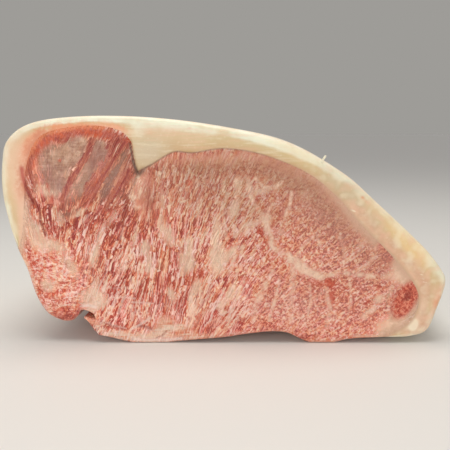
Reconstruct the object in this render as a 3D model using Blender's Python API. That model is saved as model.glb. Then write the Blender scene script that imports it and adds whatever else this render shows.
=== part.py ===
"""A block of raw striploin: the lean with its two muscles, and the fat cap that wraps it.

The cut face looks towards -Y, +X is to the right and +Z is up. Every outline below is the
cut face's, in millimetres, and the block is that outline carried back through its depth.
"""

import math

import bpy
import numpy as np

# Driving sizes, in millimetres.
BLOCK_WIDTH = 250.0
BLOCK_DEPTH = 150.0
SEAM_GAP = 0.3  # between the fat cap and the lean
POINT_SPACING = 3.4  # along an outline
DEPTH_STEPS = 11
RIM_STEPS = 2

# How the section changes from the cut face to the far end.
FAR_WIDTH_LOSS = 0.045
FAR_HEIGHT_LOSS = 0.065
FAR_CUT_SLANT = 5.0  # the far cut is this much nearer at its right end
FAR_CUT_LEFT = -115.5  # where it reaches the whole depth
BELLY_SWELL = 0.9  # the sides swell this far at mid depth

# Soft pulls on the section at the far end: centre, reach and shift.
FAR_PULLS = {
    "wedge_tip": {"centre": (-49.0, 100.0), "reach": 26.0, "shift": (-7.0, -6.0)},
    "left_shoulder": {"centre": (-122.0, 104.0), "reach": 46.0, "shift": (5.0, -5.0)},
    "notch": {"centre": (-82.0, 19.0), "reach": 12.0, "shift": (3.0, -4.5)},
    "lobe": {"centre": (-104.0, 22.0), "reach": 24.0, "shift": (-3.0, -4.0)},
    "right_slope": {"centre": (92.0, 72.0), "reach": 40.0, "shift": (4.0, 4.0)},
    "tail": {"centre": (122.0, 34.0), "reach": 24.0, "shift": (-3.0, 3.0)},
}

# Marks that the rib bones leave across the underside.
RIB_SPACING = 47.0
RIB_DEPTH = 1.6
RIB_SPAN = (-34.0, 44.0)

# Soft lumps on the outside of the fat.
FAT_LUMP = 0.7
FAT_LUMP_LENGTH = 58.0

# Rounding of the cut edges.
FAT_RIM_RADIUS = 3.6
LEAN_RIM_RADIUS = 2.4
LEAST_RIM_RADIUS = 0.15

# Outside of the fat cap: from its thin end on the left, over the top, to its end underneath.
CAP_OUTSIDE = [
    (-118.1, 56.6),
    (-122.6, 72.0),
    (-125.0, 87.0),
    (-124.6, 102.5),
    (-120.6, 117.0),
    (-105.7, 126.6),
    (-75.0, 130.0),
    (-37.4, 128.9),
    (0.0, 124.0),
    (34.0, 116.0),
    (64.4, 99.2),
    (83.5, 83.0),
    (111.0, 57.6),
    (122.2, 44.0),
    (125.2, 36.0),
    (121.5, 21.5),
    (116.2, 7.6),
    (107.0, 3.9),
    (93.3, 4.0),
]

# Meeting line of the fat and the left muscle, down to the tip of the fat wedge.
SEAM_LEFT = [
    (-118.1, 56.6),
    (-115.0, 67.0),
    (-112.9, 85.0),
    (-110.8, 102.0),
    (-105.2, 115.6),
    (-95.5, 122.0),
    (-75.0, 124.8),
    (-59.5, 122.6),
    (-52.6, 116.6),
    (-51.1, 108.1),
    (-49.4, 99.8),
]

# From the tip of the wedge along the eye muscle and round its tail.
SEAM_RIGHT = [
    (-49.4, 99.8),
    (-41.5, 103.6),
    (-29.0, 110.5),
    (-18.5, 110.1),
    (-1.0, 112.4),
    (20.8, 108.9),
    (45.0, 98.9),
    (62.0, 85.4),
    (75.4, 70.3),
    (94.9, 50.5),
    (106.8, 35.6),
    (110.2, 24.6),
    (105.4, 12.9),
    (93.3, 4.0),
]

# Bare lean under the thin end of the cap, round the lobe and into the notch.
LOBE_OUTSIDE = [
    (-118.1, 56.6),
    (-113.9, 41.5),
    (-110.4, 27.5),
    (-105.2, 17.4),
    (-97.0, 12.8),
    (-90.2, 13.0),
    (-86.6, 16.8),
    (-84.4, 19.9),
    (-80.6, 19.4),
    (-77.4, 17.4),
    (-76.6, 15.6),
]

# The flap under the notch.
FLAP = [
    (-76.6, 15.6),
    (-79.0, 15.0),
    (-82.6, 15.6),
    (-83.2, 14.9),
    (-80.9, 12.9),
    (-78.6, 9.3),
    (-75.4, 5.2),
]

# Underside of the block, from the flap to the end of the fat.
UNDERSIDE = [
    (-75.4, 5.2),
    (-65.0, 2.2),
    (-55.0, 0.0),
    (-46.0, -0.2),
    (-36.0, 0.0),
    (-20.0, 1.5),
    (-3.4, 2.9),
    (11.0, 5.1),
    (25.0, 6.6),
    (34.0, 6.0),
    (41.0, 2.9),
    (48.0, 0.0),
    (55.0, -0.2),
    (62.0, 0.0),
    (72.0, 2.2),
    (93.3, 4.0),
]


def smooth_curve(controls, counts):
    """Points on a Catmull-Rom curve through the controls, with counts[i] steps in span i."""
    p = np.array(controls)
    p = np.vstack([2 * p[0] - p[1], p, 2 * p[-1] - p[-2]])
    spans = []
    for i, count in enumerate(counts):
        a, b, c, d = p[i : i + 4]
        t = np.linspace(0.0, 1.0, count, endpoint=False)[:, None]
        rise = (2 * a - 5 * b + 4 * c - d) * t**2 + (3 * b - a - 3 * c + d) * t**3
        spans.append(0.5 * (2 * b + (c - a) * t + rise))
    spans.append(p[-2][None])
    return np.concatenate(spans)


def span_counts(controls, spacing):
    """How many steps each span between two controls gets, so that they are about as long."""
    lengths = np.linalg.norm(np.diff(np.array(controls), axis=0), axis=1)
    return [max(2, round(length / spacing)) for length in lengths]


def curve(controls, spacing=POINT_SPACING):
    return smooth_curve(controls, span_counts(controls, spacing))


def carried_back(points, s):
    """The section's points at depth share s: slimmer towards the far end, and softly pulled."""
    x, z = points.T
    side = BELLY_SWELL * math.sin(math.pi * s)
    new_x = x * (1 - FAR_WIDTH_LOSS * s**1.4) + side * np.tanh(x / 60.0)
    new_z = z * (1 - FAR_HEIGHT_LOSS * s**1.3)
    for pull in FAR_PULLS.values():
        cx, cz = pull["centre"]
        near = np.exp(-((x - cx) ** 2 + (z - cz) ** 2) / pull["reach"] ** 2)
        new_x = new_x + pull["shift"][0] * s * near
        new_z = new_z + pull["shift"][1] * s * near
    return np.stack([new_x, new_z], axis=1)


def outward(points):
    """Unit normals of a closed outline that runs clockwise as seen from the front."""
    along = np.roll(points, -1, axis=0) - np.roll(points, 1, axis=0)
    along /= np.linalg.norm(along, axis=1)[:, None]
    return np.stack([-along[:, 1], along[:, 0]], axis=1)


def room_inside(points, normals):
    """How far each outline point is from the outline across the section from it."""
    apart = points[None] - points[:, None]
    distance = np.linalg.norm(apart, axis=2)
    inward = -np.einsum("ijk,ik->ij", apart, normals)
    facing = inward > 0.6 * distance
    facing &= distance > 1e-6
    return np.where(facing, distance, 1e9).min(axis=1)


def eased(values, rounds):
    """A closed row of values with its jumps smoothed out."""
    for _ in range(rounds):
        values = 0.25 * np.roll(values, 1) + 0.5 * values + 0.25 * np.roll(values, -1)
    return values


def with_seam_gap(outline, on_seam):
    """The outline with its seam points drawn inwards by half of the gap."""
    inset = np.where(on_seam, SEAM_GAP / 2, 0.0)[:, None]
    return outline - inset * outward(outline)


def lean_section():
    """The lean's outline on the cut face, and which of its points lie on the seam."""
    seam = np.concatenate([curve(SEAM_LEFT)[:-1], curve(SEAM_RIGHT)])
    below = [curve(LOBE_OUTSIDE)[:-1], curve(FLAP, 1.3)[:-1], curve(UNDERSIDE)]
    bottom = np.concatenate(below)[1:-1][::-1]
    outline = np.concatenate([seam, bottom])
    on_seam = np.arange(len(outline)) < len(seam)
    return outline, on_seam


def cap_section():
    """The fat cap's outline on the cut face, and which of its points lie on the seam."""
    outside = curve(CAP_OUTSIDE)
    seam = np.concatenate([curve(SEAM_LEFT)[:-1], curve(SEAM_RIGHT)])
    # Both thin ends are cut short, where the fat is still thick enough to be solid.
    outside = outside[1:-1]
    seam = seam[2:-1][::-1]
    outline = np.concatenate([outside, seam])
    on_seam = np.arange(len(outline)) >= len(outside)
    return outline, on_seam


def ribbed(points, y):
    """Shallow troughs across the underside, where the rib bones lay."""
    x, z = points.T
    start, end = RIB_SPAN
    across = np.clip((x - start) / 14.0, 0, 1) * np.clip((end - x) / 14.0, 0, 1)
    low = np.clip((10.0 - z) / 3.0, 0, 1)
    wave = 0.5 - 0.5 * np.cos(2 * np.pi * (y + 9.0) / RIB_SPACING)
    raised = z + RIB_DEPTH * across * low * wave
    return np.stack([x, raised], axis=1)


def lumpy(points, y, bare):
    """The outside of the fat, softly uneven along and across."""
    turn = np.linspace(0.0, 1.0, len(points), endpoint=False) * 2 * np.pi
    wave = np.sin(5 * turn + 0.8) * np.sin(2 * np.pi * (y + 20.0) / FAT_LUMP_LENGTH)
    wave = wave + 0.5 * np.sin(9 * turn + 2 * np.pi * y / 41.0)
    fade = np.clip((y + BLOCK_DEPTH / 2 - 5.0) / 25.0, 0, 1)
    return points + (FAT_LUMP * wave * fade * bare)[:, None] * outward(points)


def make_block(name, section, rim_radius, is_fat, colour, roughness):
    """Carries a section back from the cut face, with rounded cut edges and both ends closed."""
    outline, on_seam = section
    outline = with_seam_gap(outline, on_seam)
    bare = eased((~on_seam).astype(float), 2) * ~on_seam
    room = room_inside(outline, outward(outline))
    radius = np.minimum(rim_radius * bare, 0.3 * room)
    radius = np.maximum(eased(radius, 1), LEAST_RIM_RADIUS)
    radius = np.minimum(radius, np.maximum(0.3 * room, LEAST_RIM_RADIUS))

    rings = []
    half = BLOCK_DEPTH / 2
    near_turns = [(0.0, a) for a in np.linspace(0, math.pi / 2, RIM_STEPS + 1)]
    between = [(s, math.pi / 2) for s in np.linspace(0, 1, DEPTH_STEPS)[1:-1]]
    far_turns = [(1.0, a) for a in np.linspace(math.pi / 2, 0, RIM_STEPS + 1)]
    for s, turn in near_turns + between + far_turns:
        points = carried_back(outline, s)
        y_middle = -half + BLOCK_DEPTH * s
        if is_fat:
            points = lumpy(points, y_middle, bare)
        else:
            points = ribbed(points, y_middle)
        inset = radius * (1 - math.sin(turn))
        points = points - inset[:, None] * outward(points)
        points[:, 1] = np.maximum(points[:, 1], inset)
        back = radius * (1 - math.cos(turn))
        y = back + (BLOCK_DEPTH - 2 * radius) * s
        if s == 1.0:
            y = BLOCK_DEPTH - back
        slant_share = (points[:, 0] - FAR_CUT_LEFT) / BLOCK_WIDTH
        slant = 1 - FAR_CUT_SLANT / BLOCK_DEPTH * slant_share
        y = -half + y * slant
        rings.append(np.stack([points[:, 0], y, points[:, 1]], axis=1))

    count = len(outline)
    vertices = np.concatenate(rings) / 1000.0
    i = np.arange(count)
    j = (i + 1) % count
    faces = []
    for k in range(len(rings) - 1):
        a, b = k * count, (k + 1) * count
        faces += np.stack([a + i, a + j, b + j, b + i], axis=1).tolist()
    faces.append((i[::-1]).tolist())
    faces.append(((len(rings) - 1) * count + i).tolist())

    mesh = bpy.data.meshes.new(name)
    mesh.from_pydata(vertices.tolist(), [], faces)
    mesh.validate()
    block = bpy.data.objects.new(name, mesh)
    bpy.context.scene.collection.objects.link(block)

    material = bpy.data.materials.new(name)
    material.use_nodes = True
    shader = material.node_tree.nodes["Principled BSDF"]
    shader.inputs["Base Color"].default_value = (*colour, 1.0)
    shader.inputs["Roughness"].default_value = roughness
    mesh.materials.append(material)
    return block


for old in list(bpy.data.objects):
    bpy.data.objects.remove(old, do_unlink=True)

make_block("lean", lean_section(), LEAN_RIM_RADIUS, False, (0.60, 0.24, 0.18), 0.38)
make_block("fat_cap", cap_section(), FAT_RIM_RADIUS, True, (0.83, 0.67, 0.47), 0.42)
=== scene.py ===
# Raw striploin block: marbled lean with a lobe, a notch and a tail muscle, and its fat cap.
# Shapes are worked out in millimetres, with the main cut face towards -Y, and put into the
# meshes in metres.
import math

import bmesh
import bpy
import numpy as np
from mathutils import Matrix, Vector


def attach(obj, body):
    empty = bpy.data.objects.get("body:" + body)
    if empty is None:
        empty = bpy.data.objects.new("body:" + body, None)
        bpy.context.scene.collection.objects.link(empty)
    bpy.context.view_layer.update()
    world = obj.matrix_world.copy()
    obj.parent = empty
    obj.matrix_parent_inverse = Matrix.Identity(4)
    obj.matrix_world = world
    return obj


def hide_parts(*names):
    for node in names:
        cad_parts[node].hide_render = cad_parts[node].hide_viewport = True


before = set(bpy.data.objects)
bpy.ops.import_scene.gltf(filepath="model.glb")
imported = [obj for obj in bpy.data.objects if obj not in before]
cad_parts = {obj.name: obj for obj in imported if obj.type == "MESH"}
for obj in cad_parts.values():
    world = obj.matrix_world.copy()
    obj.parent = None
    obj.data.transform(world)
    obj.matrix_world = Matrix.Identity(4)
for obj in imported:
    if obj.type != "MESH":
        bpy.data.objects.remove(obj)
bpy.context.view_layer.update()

print("frame loaded")

perMetre = 1000.0  # millimetres in a metre
seamReach = 20.0  # the layers keep the distance to the seam up to this many millimetres
seamPoints = 260  # the seam is followed by this many points
rungPoints = 4000  # and the way along the rungs by these
sharpAbove = 50  # degrees between two faces, past which their edge stays sharp
samePlace = 2e-6  # metres within which two points are made one
noLength = 1e-6  # and edges that are shorter are dropped

blockForm = {
    "depth": 150,
    "width": 250,
    "farWidthLoss": 0.045,  # how much slimmer and lower the far end is
    "farHeightLoss": 0.065,
    "widthBend": 1.4,  # powers of the share of the depth: most of the loss is near the far end
    "heightBend": 1.3,
    "farCutSlant": 5,  # the far cut comes nearer by this much to the right
    "farCutLeft": -115.5,
    "bellySwell": 0.9,  # the sides swell this far at mid depth
    "bellyWidth": 60,  # and hardly at all nearer to the middle than this
    "seamGap": 0.3,  # between the fat and the lean, behind the cut faces
    # soft pulls on the section at the far end: centre, reach, shift
    "farPulls": [
        ((-49, 100), 26, (-7, -6)),
        ((-122, 104), 46, (5, -5)),
        ((-82, 19), 12, (3, -4.5)),
        ((-104, 22), 24, (-3, -4)),
        ((92, 72), 40, (4, 4)),
        ((122, 34), 24, (-3, 3)),
    ],
}

# Meeting line of fat and lean on the cut face: down to the tip of the fat wedge, then along
# the eye muscle and round its tail.
seamLeft = [
    (-118.1, 56.6), (-115, 67), (-112.9, 85), (-110.8, 102), (-105.2, 115.6),
    (-95.5, 122), (-75, 124.8), (-59.5, 122.6), (-52.6, 116.6), (-51.1, 108.1),
    (-49.4, 99.8),
]
seamRight = [
    (-49.4, 99.8), (-41.5, 103.6), (-29, 110.5), (-18.5, 110.1), (-1, 112.4),
    (20.8, 108.9), (45, 98.9), (62, 85.4), (75.4, 70.3), (94.9, 50.5),
    (106.8, 35.6), (110.2, 24.6), (105.4, 12.9), (93.3, 4),
]


def curveAt(controls, place):
    # Catmull-Rom curve. The whole part of place picks a span between two controls, and its
    # fraction t blends the four controls around that span with cubics in t.
    c = np.array(controls)
    c = np.vstack([2 * c[0] - c[1], c, 2 * c[-1] - c[-2]])
    span = np.clip(place.astype(int), 0, len(controls) - 2)
    t = (place - span)[:, None]
    p, q, r, s = (c[span + k] for k in range(4))
    rise = (2 * p - 5 * q + 4 * r - s) * t**2 + (3 * q - p - 3 * r + s) * t**3
    return 0.5 * (2 * q + (r - p) * t + rise)


def joinedCurves(first, second, place):
    # two curves, one after the other: the places of the second go on from those of the first
    corner = len(first) - 1
    start = curveAt(first, np.minimum(place, corner))
    end = curveAt(second, np.maximum(place - corner, 0.0))
    return np.where((place < corner)[:, None], start, end)


def seamAt(place):
    # the seam's two curves, one after the other
    return joinedCurves(seamLeft, seamRight, place)


def pairedPlaces(outerAt, rungs, count):
    # Rungs pair a place on the outside with one on the seam. Between rungs both places run
    # evenly, and the columns are spread by the longer of the two steps that they make. A very
    # small length is added to each step, so that the sums always rise.
    fine = np.linspace(0, len(rungs) - 1, rungPoints)
    outer, seam = (np.interp(fine, range(len(rungs)), ends) for ends in zip(*rungs))
    stepOut = np.linalg.norm(np.diff(outerAt(outer), axis=0), axis=1)
    stepSeam = np.linalg.norm(np.diff(seamAt(seam), axis=0), axis=1)
    length = np.concatenate([[0], np.cumsum(np.maximum(stepOut, stepSeam) + 1e-4)])
    even = np.interp(np.linspace(0, length[-1], count), length, fine)
    return np.interp(even, fine, outer), np.interp(even, fine, seam)


def carriedBack(points, share):
    # The section at a share of the depth: x and z shrink by a power of the share, and each
    # pull shifts what is near its centre, by a bell curve of the distance.
    x, z = points[..., 0], points[..., 1]
    f = blockForm
    swell = f["bellySwell"] * np.sin(np.pi * share) * np.tanh(x / f["bellyWidth"])
    newX = x * (1 - f["farWidthLoss"] * share ** f["widthBend"]) + swell
    newZ = z * (1 - f["farHeightLoss"] * share ** f["heightBend"])
    for (cx, cz), reach, (dx, dz) in f["farPulls"]:
        near = np.exp(-((x - cx) ** 2 + (z - cz) ** 2) / reach**2)
        newX = newX + dx * share * near
        newZ = newZ + dz * share * near
    return np.stack([newX, newZ], axis=-1)


def outwardOf(line, side):
    # unit normals of an outline: its direction turned by a right angle, to the given side
    along = np.gradient(line, axis=0)
    along /= np.linalg.norm(along, axis=1)[:, None] + 1e-9
    return side * np.stack([-along[:, 1], along[:, 0]], axis=1)


def softTable(x, table):
    # values between the table's rows, eased by 3t^2 - 2t^3 in each gap
    xs = np.array([row[0] for row in table], float)
    ys = np.array([row[1] for row in table], float)
    k = np.clip(np.searchsorted(xs, x) - 1, 0, len(xs) - 2)
    t = np.clip((x - xs[k]) / (xs[k + 1] - xs[k]), 0, 1)
    t = t * t * (3 - 2 * t)
    return ys[k] + (ys[k + 1] - ys[k]) * t


hashAlong = np.array([127.1, 311.7, 74.7])  # large uneven numbers, which mix the corners well
hashScale = 43758.5453
hashStep = 17.3  # from one seed to the next


def softNoise(points, size, seed):
    # Lattice noise from -1 to 1: each corner of a grid gets a value from a sine hash, and the
    # eight corners round a point are blended by eased fractions.
    q = points / size
    base = np.floor(q)
    f = q - base
    f = f * f * (3 - 2 * f)
    total = 0.0
    for cx in (0, 1):
        for cy in (0, 1):
            for cz in (0, 1):
                corner = base + np.array([cx, cy, cz])
                dot = corner @ hashAlong + seed * hashStep
                value = np.modf(np.abs(np.sin(dot) * hashScale))[0]
                wx = f[..., 0] if cx else 1 - f[..., 0]
                wy = f[..., 1] if cy else 1 - f[..., 1]
                wz = f[..., 2] if cz else 1 - f[..., 2]
                total = total + value * wx * wy * wz
    return 2 * total - 1


def spots(x, z, places):
    # Sum of bell-shaped spots: each has a centre, two reaches, a turn in degrees and a
    # strength, and falls off by the square of the turned distance over the reaches.
    total = np.zeros_like(x)
    for cx, cz, reachX, reachZ, turn, strength in places:
        a = math.radians(turn)
        u = ((x - cx) * math.cos(a) + (z - cz) * math.sin(a)) / reachX
        v = ((z - cz) * math.cos(a) - (x - cx) * math.sin(a)) / reachZ
        total = total + strength * np.exp(-(u * u + v * v))
    return total


def distanceTo(points, line):
    # shortest distance from each point to a line of straight pieces
    flat = points.reshape(-1, 2)
    best = np.full(len(flat), 1e9)
    for start, end in zip(line[:-1], line[1:]):
        d = end - start
        t = np.clip(((flat - start) @ d) / max(d @ d, 1e-9), 0, 1)
        gap = np.linalg.norm(flat - start - t[:, None] * d, axis=1)
        best = np.minimum(best, gap)
    return best.reshape(points.shape[:-1])


def keptAbove(xz, lowest):
    # the same points, with none lower than the given height
    return np.stack([xz[:, 0], np.maximum(xz[:, 1], lowest)], axis=1)


def blockSkin(seam, outside, side, rim, rows, sideShape):
    # A closed sleeve. Every column runs from the seam over the front cut to the outside,
    # round the front edge, back along the outside, round the far edge, over the far cut to
    # the seam, and forward again along the seam. The rounded edges are quarter circles.
    depth, half = blockForm["depth"], blockForm["depth"] / 2
    front = outside
    far = carriedBack(outside, 1.0)
    normal, farNormal = outwardOf(front, side), outwardOf(far, side)
    r = rim[:, None]
    edgeHome = front - r * normal
    grids = {"place": [], "home": [], "cut": [], "across": []}

    def slanted(x, y):
        share = (x - blockForm["farCutLeft"]) / blockForm["width"]
        return -half + y * (1 - blockForm["farCutSlant"] / depth * share)

    def addRow(xz, y, home, cut, across):
        count = len(xz)
        row = np.stack([xz[:, 0], slanted(xz[:, 0], y), xz[:, 1]], axis=1)
        grids["place"].append(row)
        grids["home"].append(home)
        grids["cut"].append(np.full(count, cut))
        grids["across"].append(np.full(count, across))

    for w in np.linspace(0, 1, rows["face"] + 1):
        xz = seam + (edgeHome - seam) * w
        addRow(xz, faceDepth(xz), xz, 1.0, 1 - w)
    for turn in np.linspace(0, math.pi / 2, rows["rim"] + 1)[1:]:
        inset = r * (1 - math.sin(turn))
        xz = keptAbove(front - inset * normal, inset[:, 0])
        y = rim * (1 - math.cos(turn)) + faceDepth(edgeHome) * math.cos(turn)
        addRow(xz, y, front - inset * normal, math.cos(turn), 0.0)
    for s in np.linspace(0, 1, rows["side"] + 1)[1:-1]:
        xz = sideShape(carriedBack(outside, s), s)
        y = rim + (depth - 2 * rim) * s
        addRow(xz, y, outside, 0.0, 0.0)
    for turn in np.linspace(math.pi / 2, 0, rows["rim"] + 1):
        inset = r * (1 - math.sin(turn))
        xz = keptAbove(sideShape(far, 1.0) - inset * farNormal, inset[:, 0])
        y = depth - rim * (1 - math.cos(turn)) - faceDepth(edgeHome) * math.cos(turn)
        addRow(xz, y, front - inset * normal, math.cos(turn), 0.0)
    farSeam = carriedBack(seam, 1.0)
    farEdge = keptAbove(sideShape(far, 1.0) - r * farNormal, rim)
    for w in np.linspace(1, 0, rows["far"] + 1)[1:]:
        home = seam + (edgeHome - seam) * w
        xz = farSeam + (farEdge - farSeam) * w
        addRow(xz, depth - faceDepth(home), home, 1.0, 1 - w)
    for s in np.linspace(1, 0, rows["wall"] + 1)[1:-1]:
        line = carriedBack(seam, s)
        xz = line + blockForm["seamGap"] / 2 * outwardOf(line, side)
        addRow(xz, depth * s, seam, 0.5, 1.0)
    return {key: np.array(value) for key, value in grids.items()}


def sleeveMesh(name, grid, layers):
    # Quads between neighbouring columns and rows, with the last row joined to the first. The
    # sum of each corner's dot and cross products tells whether they face outwards.
    rowCount, columnCount = grid["place"].shape[:2]
    index = np.arange(rowCount * columnCount).reshape(rowCount, columnCount)
    a, b = index[:, :-1], index[:, 1:]
    c, d = np.roll(index, -1, axis=0)[:, 1:], np.roll(index, -1, axis=0)[:, :-1]
    quads = np.stack([a, b, c, d], axis=-1).reshape(-1, 4)
    points = grid["place"].reshape(-1, 3) / perMetre
    tri = points[quads]
    volume = np.einsum("ij,ij->i", tri[:, 0], np.cross(tri[:, 1], tri[:, 2])).sum()
    if volume < 0:
        quads = quads[:, ::-1]
    mesh = bpy.data.meshes.new(name)
    mesh.from_pydata(points.tolist(), [], quads.tolist())
    for layer, (kind, values) in layers.items():
        attribute = mesh.attributes.new(layer, kind, "POINT")
        key = "vector" if kind == "FLOAT_VECTOR" else "color"
        attribute.data.foreach_set(key, values.reshape(-1).astype(np.float32))
    return mesh


def finishMesh(mesh, extra):
    # takes in the extra mesh, joins what coincides, drops faces without area and smooths all
    # but the sharp edges
    work = bmesh.new()
    for source in (mesh, extra):
        work.from_mesh(source)
    bmesh.ops.remove_doubles(work, verts=work.verts, dist=samePlace)
    bmesh.ops.dissolve_degenerate(work, edges=work.edges, dist=noLength)
    work.to_mesh(mesh)
    work.free()
    mesh.shade_smooth()
    mesh.set_sharp_from_angle(angle=math.radians(sharpAbove))


def carriedLoop(points, centre, sections):
    # A closed loop of section points carried along: each section gives the place of its
    # centre and a share of full size, and a share of nought closes an end.
    spread = points - centre
    place = np.array([place for place, _ in sections], float)
    share = np.array([share for _, share in sections], float)
    flat = spread[:, None, :] * share[None, :, None]
    x = place[None, :, 0] + flat[..., 0]
    z = place[None, :, 2] + flat[..., 1]
    y = np.broadcast_to(place[None, :, 1], x.shape)
    home = points[:, None, :] + 0 * flat
    full = np.ones_like(x)
    place = np.stack([x, y, z], axis=-1)
    return {"place": place, "home": home, "cut": full, "across": 0 * full}


def asLayers(groups):
    # fields by four, as the channels of a colour
    return {key: ("FLOAT_COLOR", np.stack(four, axis=-1)) for key, four in groups.items()}


def makeSleeve(outsideAt, form, side, sideShape):
    # Pairs the outside with the seam and rounds the cut edges by the form's table, but never by
    # more than a share of the room between the two.
    outer, seam = pairedPlaces(outsideAt, form["rungs"], form["columns"])
    outside, inside = outsideAt(outer), seamAt(seam)
    room = np.linalg.norm(outside - inside, axis=1)
    rim = np.minimum(softTable(outer, form["rim"]), form["rimShare"] * room)
    return blockSkin(inside, outside, side, rim, form["rows"], sideShape)


def addPiece(name, mesh, node, material):
    # an object of the mesh that rides the block and replaces one of its solids
    piece = bpy.data.objects.new(name, mesh)
    bpy.context.scene.collection.objects.link(piece)
    mesh.materials.clear()
    mesh.materials.append(material)
    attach(piece, "root")
    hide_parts(node)
    print(name, "made,", len(mesh.polygons), "faces")


# Relief of the cut face: positive spots lie deeper. Centre, reaches, turn, depth in mm.
faceRelief = {
    "spots": [
        (-82, 14, 7, 7, 0, 2.2),  # round the notch
        (-112, 34, 9, 24, 15, 1.6),  # the lobe's outer side turns away
        (-98, 14, 14, 7, 0, 1.8),
        (-52, 84, 3, 20, 12, 0.6),  # valley between the two muscles
        (-90, 46, 22, 4, -40, 0.7),  # between the lobe and the left muscle
        (-88, 104, 16, 12, 0, 0.5),
        (103, 26, 6, 10, -25, 0.5),  # the tail muscle lies a little deeper
        (58, 40, 40, 2.5, 2, 0.25),  # along the main vein
        (10, 60, 40, 30, 0, -0.3),
        (-49, 98, 1.6, 2.2, 0, 1.6),  # pit at the tip of the fat wedge
        (-15.1, 39, 2.4, 1.2, 30, 0.8),
        (59.6, 36.5, 3.6, 1.4, -45, 0.5),
        (-23, 49, 3.6, 6, 0, -0.35),
        (-5.5, 50, 3.8, 8, 0, -0.35),
    ],
    # creases: points, half width, depth
    "creases": [
        ([(-75, 12.6), (-71.9, 10.8), (-64.5, 8.6), (-58, 7.8)], 0.8, 0.6),
        ([(-51, 10.4), (-47.4, 9.8), (-44.6, 8.4)], 1, 0.9),
        ([(-42.3, 2.6), (-38, 4.5), (-35.5, 7.2)], 0.7, 0.6),
        ([(-52.6, 116.6), (-51.1, 108.1), (-49.4, 99.8)], 0.7, 0.7),
        ([(-49.4, 99.8), (-41.5, 103.6), (-29, 110.5), (-18.5, 110.1)], 0.5, 0.35),
    ],
    "lumpSize": 16,
    "lump": 0.22,
    "grainSize": 4,
    "grain": 0.07,
    "inset": 0.45,  # the face lies this far behind the front of the block
}


def faceDepth(xz):
    # Spots, plus creases that fade by the square of the distance to their line, plus two
    # sizes of lattice noise. Nothing stands out in front of the cut.
    x, z = xz[..., 0], xz[..., 1]
    space = np.stack([x, z, np.zeros_like(x)], axis=-1)
    relief = spots(x, z, faceRelief["spots"])
    for line, halfWidth, depth in faceRelief["creases"]:
        gap = distanceTo(xz, np.array(line)) / halfWidth
        relief = relief + depth * np.exp(-gap * gap)
    relief = relief + faceRelief["lump"] * softNoise(space, faceRelief["lumpSize"], seed=3)
    relief = relief + faceRelief["grain"] * softNoise(space, faceRelief["grainSize"], seed=5)
    return np.maximum(relief + faceRelief["inset"], 0.0)


# Run of the fibres over the cut face: x, z, direction in degrees up from the right, and how
# wide and how long one streak is, in mm.
fibreField = [
    (-113, 103, 107, 1.44, 15.7), (-110, 86, 107, 1.52, 15.7), (-105, 68, 102, 1.52, 13.5),
    (-99, 84, 96, 1.60, 13.5), (-94, 81, 85, 1.68, 13.5), (-94, 64, 78, 1.60, 12.3),
    (-104, 52, 95, 1.52, 11.3), (-85, 95, 64, 1.84, 20.2), (-83, 75, 70, 1.68, 15.7),
    (-81, 58, 70, 1.90, 13.5), (-74, 114, 62, 1.92, 22.4), (-68, 98, 62, 1.84, 22.4),
    (-66, 81, 64, 1.76, 18.0), (-58, 106, 60, 1.76, 18.0), (-56, 84, 66, 1.60, 18.0),
    (-58, 64, 68, 1.90, 15.7), (-76, 48, 78, 2.00, 15.7), (-65, 40, 70, 1.75, 17.7),
    (-71, 28, 68, 1.75, 16.3), (-48, 25, 80, 1.60, 18.1), (-63, 14, 66, 1.75, 16.2),
    (-43, 95, 84, 1.52, 18.0), (-44, 72, 84, 1.50, 18.0), (-41, 52, 84, 1.55, 18.1),
    (-29, 103, 78, 1.36, 10.1), (-23, 84, 75, 1.44, 11.0), (-27, 64, 80, 1.44, 12.1),
    (-30, 37, 82, 1.50, 18.1), (-22, 25, 76, 1.50, 18.0), (-6, 103, 68, 1.28, 9.1),
    (-3, 84, 66, 1.36, 10.1), (-7, 61, 72, 1.36, 11.0), (-13, 31, 70, 1.50, 16.0),
    (1, 31, 62, 1.60, 12.7), (4, 52, 62, 1.36, 8.1), (13, 98, 62, 1.20, 6.0),
    (16, 78, 58, 1.28, 6.0), (20, 61, 56, 1.28, 5.3), (13, 16, 56, 1.60, 9.0),
    (35, 100, 58, 1.20, 4.5), (41, 81, 54, 1.20, 4.0), (47, 61, 50, 1.20, 3.4),
    (33, 37, 46, 1.20, 3.4), (31, 16, 50, 1.28, 4.0), (67, 75, 50, 1.20, 3.7),
    (70, 55, 40, 1.20, 3.4), (90, 52, 35, 1.28, 3.4), (65, 31, 40, 1.20, 3.1),
    (83, 25, 34, 1.28, 4.0), (60, 10, 40, 1.36, 4.0), (98, 13, 30, 1.44, 4.5),
    (100, 28, 63, 1.28, 4.0), (114, 37, 63, 1.60, 5.3),
]
fibreReach = 8.0  # how far a row of the table is felt, in mm


def fibreRun(home):
    # At each place the rows of the table are averaged by a bell curve of their distance,
    # which gives the direction in radians, the width and the length of a streak.
    rows = np.array(fibreField, float)
    x, z = home[..., 0, None], home[..., 1, None]
    far = (x - rows[:, 0]) ** 2 + (z - rows[:, 1]) ** 2
    far = far - far.min(axis=-1, keepdims=True)
    weight = np.exp(-far / (2 * fibreReach**2))
    weight /= weight.sum(axis=-1, keepdims=True)
    return (weight @ rows[:, 2:]) * np.array([math.pi / 180, 1.0, 1.0])


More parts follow.
